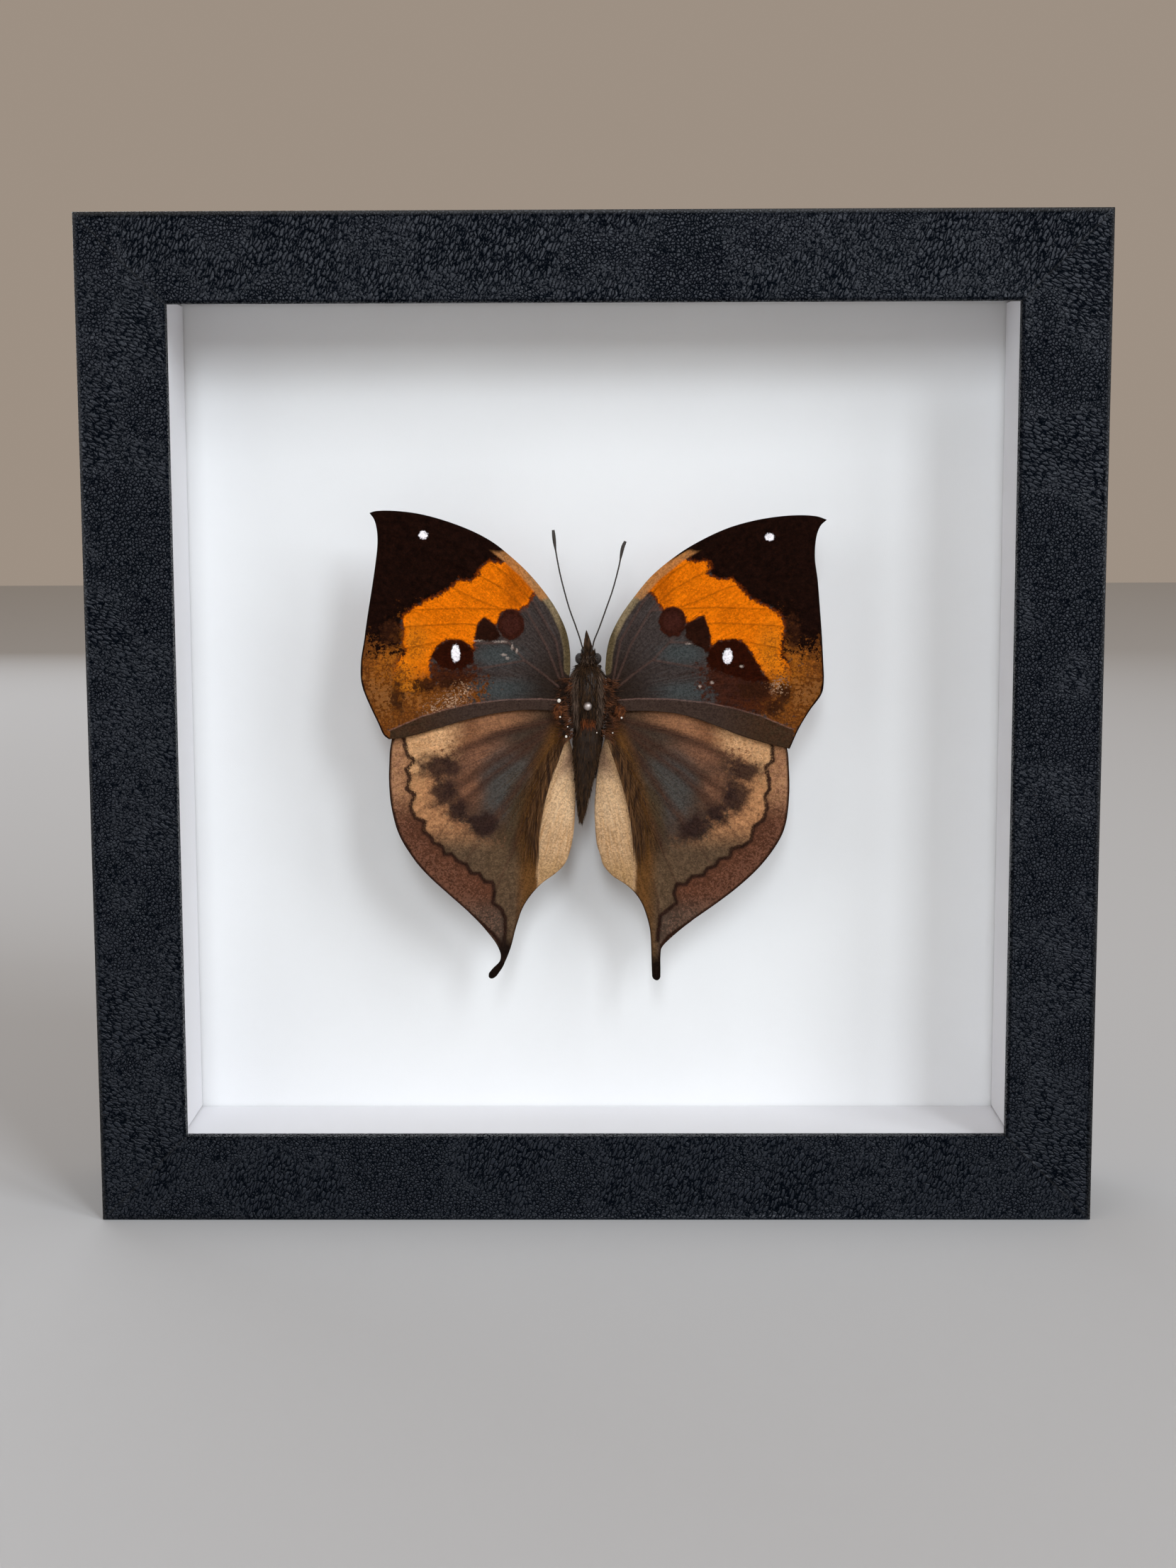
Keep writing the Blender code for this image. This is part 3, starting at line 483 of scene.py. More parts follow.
@dataclass(frozen=True)
class WingScales:
    """Butterfly wing scales: a matt powder of overlapping plates a tenth of a millimetre long.

    Each scale has one colour, so edges are grainy. Rows of scales lie along the wing and give it a nap.
    """

    name: str
    ground: str
    ground_fleck: str
    markings: tuple[Marking, ...]
    cloud_mm: float = 3.0
    mottle_mm: float = 1.0
    # Real scales are 0.1 mm long, so these are drawn four times as coarse to show
    scale_mm: float = 0.27
    streak_mm: tuple[float, float] = (6.0, 0.45)

    def material(self) -> bpy.types.Material:
        """Build the material, one marking over the other.

        Returns:
            The wing's material, which reads the mesh's measures.
        """
        material, tree, shader = new_material(self.name)
        textures = self.textures(tree)
        colour = tone_mix(tree, textures[Texture.STREAK], self.ground, self.ground_fleck)
        for marking in self.markings:
            colour = self.paint(tree, colour, marking, textures)
        grain = add_node(tree, "MapRange", {0: textures[Texture.DUST], 3: 0.7, 4: 1.3}).outputs[0]
        nap = add_node(tree, "MapRange", {0: textures[Texture.STREAK], 3: 0.84, 4: 1.16}).outputs[0]
        value = add_node(tree, "Math", {0: grain, 1: nap}, operation="MULTIPLY").outputs[0]
        colour = add_node(tree, "HueSaturation", {"Color": colour, "Value": value}).outputs[0]
        tree.links.new(colour, shader.inputs["Base Color"])
        height = add_node(tree, "Math", {0: textures[Texture.DUST], 1: textures[Texture.STREAK]},
                          operation="ADD").outputs[0]
        bump = add_node(tree, "Bump", {"Height": height, "Distance": 0.05 * MM, "Strength": 0.7})
        tree.links.new(bump.outputs["Normal"], shader.inputs["Normal"])
        shader.inputs["Roughness"].default_value = 0.75
        shader.inputs["Specular IOR Level"].default_value = 0.02
        return material

    def textures(self, tree: bpy.types.NodeTree) -> dict[Texture, bpy.types.NodeSocket]:
        """Make the wing's textures, each from 0 to 1.

        Args:
            tree: The material's node tree.

        Returns:
            A socket for each texture.
        """
        sockets = {}
        for texture, size in ((Texture.CLOUD, self.cloud_mm), (Texture.MOTTLE, self.mottle_mm)):
            noise = add_node(tree, "TexNoise", {"Vector": object_coordinates(tree, (size,) * 3), "Scale": 1.0,
                                                "Detail": 3.0, "Roughness": 0.65})
            sockets[texture] = add_node(tree, "MapRange", {0: noise.outputs["Fac"], 1: 0.3, 2: 0.7}).outputs[0]
        scales = add_node(tree, "TexVoronoi", {"Vector": object_coordinates(tree, (self.scale_mm,) * 3),
                                               "Scale": 1.0})
        sockets[Texture.DUST] = add_node(tree, "SeparateColor", {0: scales.outputs["Color"]}).outputs[0]
        along = add_node(tree, "Attribute", attribute_name="along").outputs["Fac"]
        across = add_node(tree, "Attribute", attribute_name="across").outputs["Fac"]
        lane = add_node(tree, "CombineXYZ", {"X": along, "Y": across}).outputs[0]
        scale = (1 / self.streak_mm[0], 1 / self.streak_mm[1], 1.0)
        lane = add_node(tree, "Mapping", {"Vector": lane, "Scale": scale}).outputs[0]
        noise = add_node(tree, "TexNoise", {"Vector": lane, "Scale": 1.0, "Detail": 3.0, "Roughness": 0.6})
        sockets[Texture.STREAK] = add_node(tree, "MapRange", {0: noise.outputs["Fac"], 1: 0.3, 2: 0.7}).outputs[0]
        return sockets

    def edge(self, tree: bpy.types.NodeTree, measure: str, start: float, soft: float,
             wander: object = 0.0):
        """How far a point is past an edge of one of the wing's measures.

        Args:
            tree: The material's node tree.
            measure: The measure's name.
            start: Its value at the edge.
            soft: The edge's width.
            wander: How far the edge is moved here.

        Returns:
            A socket from 0 outside to 1 inside.
        """
        value = add_node(tree, "Attribute", attribute_name=measure).outputs["Fac"]
        value = add_node(tree, "Math", {0: value, 1: wander}, operation="ADD").outputs[0]
        limits = {0: value, 1: start - soft / 2, 2: start + soft / 2}
        return add_node(tree, "MapRange", limits, interpolation_type="SMOOTHSTEP").outputs[0]

    def paint(self, tree: bpy.types.NodeTree, under: bpy.types.NodeSocket, marking: Marking,
              textures: dict[Texture, bpy.types.NodeSocket]) -> bpy.types.NodeSocket:
        """Paint one marking over what is there.

        Args:
            tree: The material's node tree.
            under: The colour so far.
            marking: The marking.
            textures: The wing's textures.

        Returns:
            The colour with the marking.
        """
        texture = textures[marking.texture]
        wander = 0.0
        if marking.ruffle:
            wander = add_node(tree, "MapRange", {0: texture, 3: -marking.ruffle, 4: marking.ruffle}).outputs[0]
        mask = self.edge(tree, marking.measure, marking.start, marking.soft, wander)
        mask = add_node(tree, "Math", {0: mask, 1: marking.cover}, operation="MULTIPLY").outputs[0]
        if marking.within:
            kept = self.edge(tree, *marking.within)
            mask = add_node(tree, "Math", {0: mask, 1: kept}, operation="MULTIPLY").outputs[0]
        tone = tone_mix(tree, texture, marking.colour, marking.fleck)
        return tone_mix(tree, mask, under, tone)


def smooth_path(points: Path, count: int) -> np.ndarray:
    """Evenly spaced places on a smooth curve through the points.

    Args:
        points: The points that the curve goes through.
        count: How many steps it is split into.

    Returns:
        An array of count + 1 places.
    """
    knots = np.asarray(points, dtype=float)
    knots = np.vstack((2 * knots[0] - knots[1], knots, 2 * knots[-1] - knots[-2]))
    t = np.arange(PATH_STEPS)[:, None] / PATH_STEPS
    spans = []
    for before, start, end, after in zip(knots, knots[1:], knots[2:], knots[3:]):
        bend = 2 * before - 5 * start + 4 * end - after
        twist = 3 * start - before - 3 * end + after
        spans.append((2 * start + (end - before) * t + bend * t ** 2 + twist * t ** 3) / 2)
    dense = np.vstack((*spans, knots[-2]))
    reach = np.concatenate(([0.0], np.cumsum(np.linalg.norm(np.diff(dense, axis=0), axis=1))))
    wanted = np.linspace(0.0, reach[-1], count + 1)
    return np.column_stack([np.interp(wanted, reach, column) for column in dense.T])


def off_path(places: np.ndarray, path: Path) -> np.ndarray:
    """Distance from each place to the nearest stretch of a path.

    Args:
        places: Places on the wing.
        path: The path's points.

    Returns:
        The distances.
    """
    nearest = np.full(len(places), np.inf)
    for start, end in zip(np.asarray(path, float), np.asarray(path[1:], float)):
        step = end - start
        share = np.clip((places - start) @ step / (step @ step), 0.0, 1.0)
        gaps = np.linalg.norm(places - start - share[:, None] * step, axis=1)
        nearest = np.minimum(nearest, gaps)
    return nearest


def inside(places: np.ndarray, outline: Path) -> np.ndarray:
    """Distance of each place inside a closed outline, negative outside it.

    Args:
        places: Places on the wing.
        outline: The outline's corners.

    Returns:
        The signed distances.
    """
    closed = (*outline, outline[0])
    x, z = places.T
    crossings = np.zeros(len(places), dtype=bool)
    for (x0, z0), (x1, z1) in zip(closed, closed[1:]):
        spans = (z0 > z) != (z1 > z)
        at = x0 + (z - z0) * (x1 - x0) / ((z1 - z0) or 1.0)
        crossings ^= spans & (x < at)
    return np.where(crossings, 1.0, -1.0) * off_path(places, closed)


def in_ovals(places: np.ndarray, ovals: Path) -> np.ndarray:
    """About how far each place is inside the nearest of some ovals.

    Args:
        places: Places on the wing.
        ovals: Centre and half sizes of each oval, across and up.

    Returns:
        The signed distances.
    """
    depth = np.full(len(places), -np.inf)
    for x, z, half_x, half_z in ovals:
        reach = np.hypot((places[:, 0] - x) / half_x, (places[:, 1] - z) / half_z)
        depth = np.maximum(depth, min(half_x, half_z) * (1.0 - reach))
    return depth


def to_object(name: str, mesh: bpy.types.Mesh, materials: Iterable[bpy.types.Material], smooth: bool = True,
              replaces: tuple[str, ...] = ()) -> bpy.types.Object:
    """Put a finished mesh into the scene as a piece that rides on the part.

    Args:
        name: The piece's name.
        mesh: Its mesh, with its place in it.
        materials: Its materials, in the order of its slots.
        smooth: Whether it is shaded smooth.
        replaces: The CAD nodes that it stands for.

    Returns:
        The object.
    """
    made = bpy.data.objects.new(name, mesh)
    mesh.name = name
    bpy.context.scene.collection.objects.link(made)
    for material in materials:
        mesh.materials.append(material)
    if smooth:
        mesh.shade_smooth()
    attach(made, BODY)
    if replaces:
        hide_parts(*replaces)
    LOG.info("%s: %d faces", name, len(mesh.polygons))
    return made


def to_mesh(name: str, bm: bmesh.types.BMesh) -> bpy.types.Mesh:
    """Turn a bmesh into a mesh and free it."""
    mesh = bpy.data.meshes.new(name)
    bm.to_mesh(mesh)
    bm.free()
    return mesh


@dataclass(frozen=True)
class Strand:
    """A hair or thin stalk: the places it runs through, in metres, and its radius at each."""

    route: tuple[Vector, ...]
    radii: tuple[float, ...]


def strand_mesh(name: str, strands: Iterable[Strand], resolution: int = 0) -> bpy.types.Mesh:
    """Turn strands into one mesh of closed tubes.

    Args:
        name: The mesh's name.
        strands: The strands.
        resolution: How round they are: 0 gives four sides.

    Returns:
        The mesh.
    """
    curve = bpy.data.curves.new(name, "CURVE")
    curve.dimensions = "3D"
    curve.bevel_depth = 1.0
    curve.bevel_resolution = resolution
    curve.use_fill_caps = True
    for strand in strands:
        spline = curve.splines.new("POLY")
        spline.points.add(len(strand.route) - 1)
        for point, place, radius in zip(spline.points, strand.route, strand.radii):
            point.co = (*place, 1.0)
            point.radius = radius
    holder = bpy.data.objects.new(name, curve)
    bpy.context.scene.collection.objects.link(holder)
    evaluated = holder.evaluated_get(bpy.context.evaluated_depsgraph_get())
    mesh = bpy.data.meshes.new_from_object(evaluated)
    bpy.data.objects.remove(holder, do_unlink=True)
    bpy.data.curves.remove(curve)
    return mesh


@dataclass
class ShadowBox:
    """The frame: wrapped rails, glass, boards, back panel and its fittings.

    Attributes:
        side: Outer width and height.
        front: Y of the front face.
        depth: Depth of the rails.
        width: Width of a rail's face.
        lip: Thickness of the lip in front of the glass.
        rabbet: How far the rabbet is cut into the rail's inner side.
        outer_round: Radius of the outer front edge.
        inner_round: Radius of the other long edges.
        joint: Half of the gap between two rails.
    """

    nodes: dict[str, bpy.types.Object]
    side: float = 200 * MM
    front: float = -21.2 * MM
    depth: float = 40 * MM
    width: float = 17.5 * MM
    lip: float = 3 * MM
    rabbet: float = 5.5 * MM
    outer_round: float = 1.3 * MM
    inner_round: float = 0.6 * MM
    joint: float = 0.03 * MM

    def build(self) -> None:
        """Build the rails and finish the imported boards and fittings."""
        self.build_rails()
        self.finish_nodes()

    def rail_mesh(self) -> bpy.types.Mesh:
        """Model the bottom rail: its section extruded, mitred and eased along its edges.

        Returns:
            The mesh, in place.
        """
        wall = self.width - self.rabbet
        back = self.front + self.depth
        section = ((self.front, 0.0), (self.front, self.width), (self.front + self.lip, self.width),
                   (self.front + self.lip, wall), (back, wall), (back, 0.0))
        bm = bmesh.new()
        corners = [bm.verts.new((-self.side / 2, y, z)) for y, z in section]
        end = bm.faces.new(corners)
        run = bmesh.ops.extrude_face_region(bm, geom=[end])["geom"]
        moved = [item for item in run if isinstance(item, bmesh.types.BMVert)]
        bmesh.ops.translate(bm, vec=(self.side, 0, 0), verts=moved)
        for way in (-1, 1):
            at = Vector((way * (self.side / 2 - self.joint * math.sqrt(2)), 0, 0))
            cut = bmesh.ops.bisect_plane(bm, geom=[*bm.verts, *bm.edges, *bm.faces], plane_co=at,
                                         plane_no=Vector((way, 0, 1)), clear_outer=True)
            rim = [item for item in cut["geom_cut"] if isinstance(item, bmesh.types.BMEdge)]
            bmesh.ops.holes_fill(bm, edges=rim)
        bmesh.ops.recalc_face_normals(bm, faces=bm.faces)
        self.ease_edges(bm, back)
        return to_mesh("rail", bm)

    def ease_edges(self, bm: bmesh.types.BMesh, back: float) -> None:
        """Round the rail's long edges where the wrap goes over them.

        Args:
            bm: The rail.
            back: Y of the back face.
        """
        rounds = (((self.front, 0.0), self.outer_round, 6), ((self.front, self.width), self.inner_round, 4),
                  ((self.front + self.lip, self.width), 0.4 * MM, 3), ((back, 0.0), self.inner_round, 3))
        for (y, z), radius, segments in rounds:
            edges = [edge for edge in bm.edges
                     if all(abs(v.co.y - y) < 0.01 * MM and abs(v.co.z - z) < 0.01 * MM for v in edge.verts)]
            bmesh.ops.bevel(bm, geom=edges, offset=radius, offset_type="OFFSET", segments=segments,
                            profile=0.5, affect="EDGES", material=-1, clamp_overlap=True)

    def build_rails(self) -> None:
        """Place the four rails round the box's middle."""
        finishes = {lie: Leatherette(lie).material() for lie in Lie}
        middle = Matrix.Translation((0, 0, self.side / 2))
        for turn, name in enumerate(("bottom", "left", "top", "right")):
            mesh = self.rail_mesh()
            mesh.transform(middle @ Matrix.Rotation(turn * RIGHT_ANGLE, 4, "Y") @ middle.inverted())
            lie = Lie.UPRIGHT if turn % 2 else Lie.LEVEL
            rail = to_object(f"leatherette_{name}", mesh, [finishes[lie]], smooth=False,
                             replaces=(f"rail_{name}",))
            for face in rail.data.polygons:
                face.use_smooth = 0.02 < max(abs(part) for part in face.normal) < 0.999

    def finish_nodes(self) -> None:
        """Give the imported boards, panes and fittings their materials."""
        board = CoatedBoard("coated mount board").material()
        liner = CoatedBoard("coated liner board", face="#eeedf0", shade="#e8e7ea").material()
        steel = StampedMetal("zinc plated steel", bright="#b9bcc0", dull="#8d9095").material()
        brass = StampedMetal("brass plated steel", bright="#cda04f", dull="#9c7433").material()
        finishes = {
            "glass_pane": CoatedGlass().material(),
            "mount_board": board,
            "liner": liner,
            "back_panel": Hardboard().material(),
            "point": steel,
            "hanger": brass,
            "hanger_nail": StampedMetal("bright brass nail", bright="#ead9a6", dull="#c9a862").material(),
        }
        for name, node in self.nodes.items():
            for start, material in finishes.items():
                if name.startswith(start):
                    node.material_slots[0].material = material
                    LOG.info("%s: %s", name, material.name)


@dataclass(frozen=True)
class Setting:
    """Where the specimen is set: the pin, and the plane on which its wings leave the body.

    Attributes:
        pin_x: X of the pin.
        pin_z: Z of the pin.
        plane_y: Y of the wings' plane at the body.
        rise: How much the wings come forward for each unit outwards.
    """

    pin_x: float = -1.3 * MM
    pin_z: float = 103.5 * MM
    plane_y: float = -7.2 * MM
    rise: float = 0.07

    def place(self, x: float, y: float, z: float) -> Vector:
        """A place given in millimetres right of, behind and above the pin."""
        return Vector((self.pin_x + x * MM, self.plane_y + y * MM, self.pin_z + z * MM))


@dataclass(frozen=True)
class WingEdges:
    """A wing's outline, each edge from the body outwards, in millimetres from the pin."""

    front: Path
    margin: Path
    rear: Path


FOREWING_VEINS: tuple[Path, ...] = (
    ((5.0, 4.5), (6.6, 13.0), (11.0, 20.6), (17.0, 26.6), (25.0, 31.6), (33.0, 35.0)),
    ((5.4, 4.0), (8.6, 12.0), (12.6, 19.0), (17.0, 23.2), (21.6, 25.8), (30.0, 30.0), (44.0, 36.2)),
    ((12.6, 19.0), (17.5, 19.4), (21.6, 20.8), (27.5, 23.5), (36.0, 26.0), (45.6, 27.6)),
    ((17.5, 19.4), (25.9, 19.7), (34.7, 19.4), (46.2, 19.8)),
    ((6.0, 3.6), (9.5, 6.5), (13.1, 9.1), (16.4, 12.7), (19.7, 16.0), (26.0, 16.6), (36.0, 16.2), (46.6, 15.0)),
    ((16.4, 12.7), (24.0, 12.6), (30.8, 13.0), (37.4, 11.7), (47.0, 9.6)),
    ((13.1, 9.1), (22.1, 7.6), (28.7, 6.6), (38.0, 5.2), (47.0, 3.4)),
)
FOREWING_HEM_VEIN: Path = ((6.0, 1.0), (10.0, 1.3), (17.0, 1.2), (24.1, 0.5), (28.7, -0.4), (34.6, -2.0),
                           (41.4, -4.8))
HINDWING_VEINS: tuple[Path, ...] = (
    ((6.0, -3.0), (15.6, -5.2), (24.0, -8.5), (33.0, -13.0), (40.0, -17.0)),
    ((6.0, -3.5), (12.0, -7.3), (19.0, -11.6), (27.0, -17.0), (38.5, -25.0)),
    ((6.0, -4.0), (12.0, -8.9), (19.0, -14.3), (26.0, -21.0), (33.5, -31.5)),
    ((6.0, -4.5), (11.0, -12.0), (17.0, -21.0), (24.0, -31.0), (28.0, -37.5)),
    ((5.8, -5.0), (9.0, -15.0), (14.0, -27.0), (18.6, -38.0), (20.5, -43.5)),
    ((5.5, -6.0), (8.6, -17.0), (11.4, -30.0), (14.2, -39.5), (14.6, -48.0)),
)


@dataclass
class Wing:
    """One wing: a thin sheet between its edges, with veins standing a little proud.

    Attributes:
        name: The CAD node that it replaces.
        edges: The wing's outline.
        setting: Where the specimen is set.
        lift: How far it is in front of the wings' plane, in millimetres.
        grid: Steps from the base outwards and from the front edge to the rear one.
        veins: Its veins, as on a right wing.
        widen: How wide it is beside the wing that the veins were drawn on.
        thickness: The membrane's thickness.
        vein_relief: How proud its veins stand, in millimetres.
        cell_sag: How far it sinks between them, in millimetres.
        root: Height of the point that its streaks fan out from, in millimetres above the pin.
    """

    name: str
    edges: WingEdges
    setting: Setting
    lift: float
    grid: tuple[int, int]
    veins: tuple[Path, ...]
    widen: float = 1.0
    thickness: float = 0.14 * MM
    vein_relief: float = 0.13
    cell_sag: float = 0.16
    root: float = 2.0

    @property
    def is_left(self) -> bool:
        """True for a wing on the left of the body, as seen."""
        return self.name.endswith("left")

    def own_side(self, path: Path) -> Path:
        """A path drawn on a right wing, carried to this one."""
        return mirrored(path, self.widen) if self.is_left else tuple((x * self.widen, z) for x, z in path)

    def fold(self, places: np.ndarray, rear: np.ndarray, out: np.ndarray) -> np.ndarray:
        """How far each place dips away from the glass, in millimetres: a forewing doesn't."""
        return np.zeros(len(places))

    def measures(self, places: np.ndarray) -> dict[str, np.ndarray]:
        """The wing's measures at each place.

        Args:
            places: Places on the wing.

        Returns:
            An array of values in millimetres for each measure's name.
        """
        return {}

    def build(self, material: bpy.types.Material, slot: str) -> bpy.types.Object:
        """Build the wing.

        Args:
            material: The wing's scales.
            slot: The record's material slot; not used.

        Returns:
            The wing's object.
        """
        rows, columns = self.grid
        bm = bmesh.new()
        bmesh.ops.create_grid(bm, x_segments=rows, y_segments=columns, size=0.5)
        out, across = (np.array([vertex.co[axis] for vertex in bm.verts]) + 0.5 for axis in (0, 1))
        front, rear = smooth_path(self.edges.front, rows), smooth_path(self.edges.rear, rows)
        margin = smooth_path(self.edges.margin, columns)
        row, column = np.rint(out * rows).astype(int), np.rint(across * columns).astype(int)
        v, u = across[:, None], out[:, None]
        straight = front[-1] * (1 - v) + rear[-1] * v
        places = front[row] * (1 - v) + rear[row] * v + u * (margin[column] - straight)

        veins = -np.min([off_path(places, self.own_side(vein)) for vein in self.veins], axis=0)
        proud = self.vein_relief * np.exp(-(veins / 0.28) ** 2)
        sag = self.cell_sag * (1 - np.exp(veins / 1.6)) * np.sin(np.pi * np.clip(out * 1.1, 0, 1))
        depth = self.fold(places, rear[row], out) - self.lift - proud + sag
        depth -= self.setting.rise * np.abs(places[:, 0])
        for vertex, (x, z), y in zip(bm.verts, places, depth):
            vertex.co = self.setting.place(x, y, z)
        bmesh.ops.recalc_face_normals(bm, faces=bm.faces)
        mesh = to_mesh(self.name, bm)
        measures = {
            "vein": veins,
            "along": np.hypot(places[:, 0], places[:, 1] - self.root),
            "across": 30.0 * np.arctan2(places[:, 1] - self.root, np.abs(places[:, 0])),
            "root": -np.hypot(places[:, 0], places[:, 1]),
            "above": places[:, 1],
            "below": -places[:, 1],
            "outward": np.abs(places[:, 0]),
            "inward": -np.abs(places[:, 0]),
            "margin": -np.minimum(off_path(places, self.edges.margin), off_path(places, self.edges.front)),
            "outer": -off_path(places, self.edges.margin),
            "costa": -off_path(places, self.edges.front),
            "hem": -off_path(places, self.edges.rear),
            **self.measures(places),
        }
        for name, values in measures.items():
            attribute = mesh.attributes.new(name, "FLOAT", "POINT")
            attribute.data.foreach_set("value", values.astype(np.float32))
        piece = to_object(f"{self.name}_scales", mesh, [material], replaces=(self.name,))
        thicken = piece.modifiers.new("membrane", "SOLIDIFY")
        thicken.thickness = self.thickness
        thicken.offset = 0.0
        return piece


@dataclass(frozen=True)
class ForewingPattern:
    """Where a forewing's markings lie, in millimetres from the pin."""

    band: Path
    brown_spot: Path
    peaked_spot: Path
    eye_patch: Path
    window: Path
    apex_spot: Path
    rust: Path
    gold: Path
    cream: Path
    smudges: Path
    blue: Path
    shadow: Path
    specks: Path
    squiggle: Path
    apex: Path


@dataclass
class Forewing(Wing):
    """A forewing, with its orange band, dark apex, eye patch and rusty rear corner."""

    pattern: ForewingPattern | None = None

    def measures(self, places: np.ndarray) -> dict[str, np.ndarray]:
        """The forewing's measures, from its pattern."""
        pattern = self.pattern
        hem_vein = self.own_side(FOREWING_HEM_VEIN)
        below = inside(places, (*hem_vein, (hem_vein[-1][0], -30.0), (hem_vein[0][0], -30.0)))
        return {
            "band": inside(places, pattern.band),
            "apex": inside(places, pattern.apex),
            "brown_spot": in_ovals(places, pattern.brown_spot),
            "peaked_spot": inside(places, pattern.peaked_spot),
            "eye_patch": inside(places, pattern.eye_patch),
            "window": in_ovals(places, (*pattern.window, *pattern.apex_spot)),
            "rust": inside(places, pattern.rust),
            "gold": in_ovals(places, pattern.gold),
            "cream": in_ovals(places, pattern.cream),
            "smudge": in_ovals(places, pattern.smudges),
            "blue": in_ovals(places, pattern.blue),
            "shadow": inside(places, pattern.shadow),
            "specks": in_ovals(places, pattern.specks),
            "squiggle": -off_path(places, pattern.squiggle),
            "grey_hem": below,
            "hem_vein": -off_path(places, hem_vein),
        }


@dataclass(frozen=True)
class HindwingPattern:
    """Where a hindwing's markings lie, in millimetres from the pin."""

    zigzag: Path
    spots: Path
    fold: Path
    strip: Path
    slate: Path
    red: Path
    olive: Path
    tail: Path


@dataclass
class Hindwing(Wing):
    """A hindwing, with its zigzag line, diffuse spots, cream fold and tail."""

    pattern: HindwingPattern | None = None
    fold_drop: float = 2.2
    fold_width: float = 7.0
    root: float = -2.0

    def fold(self, places: np.ndarray, rear: np.ndarray, out: np.ndarray) -> np.ndarray:
        """The inner margin dips towards the abdomen's sides."""
        into = np.clip(1.0 - np.abs(places[:, 0] - rear[:, 0]) / self.fold_width, 0.0, 1.0)
        return self.fold_drop * (1.0 - out) * into ** 2

    def measures(self, places: np.ndarray) -> dict[str, np.ndarray]:
        """The hindwing's measures, from its pattern."""
        pattern, way = self.pattern, -1.0 if self.is_left else 1.0
        first, last = pattern.zigzag[0], pattern.zigzag[-1]
        inner = ((first[0], 20.0), *pattern.zigzag, (last[0], -70.0), (-20.0 * way, -70.0), (-20.0 * way, 20.0))
        top, low = pattern.fold[0], pattern.fold[-1]
        fold = (*pattern.fold, (low[0], -60.0), (-20.0 * way, -60.0), (-20.0 * way, top[1]))
        strip = (*pattern.strip, (pattern.strip[-1][0], 30.0), (pattern.strip[0][0], 30.0))
        return {
            "beyond": -inside(places, inner),
            "discal": inside(places, inner),
            "zigzag": -off_path(places, pattern.zigzag),
            "spots": in_ovals(places, pattern.spots),
            "fold": inside(places, fold),
            "strip": inside(places, strip),
            "slate": in_ovals(places, pattern.slate),
            "red": in_ovals(places, pattern.red),
            "olive": in_ovals(places, pattern.olive),
            "tail": in_ovals(places, pattern.tail),
        }


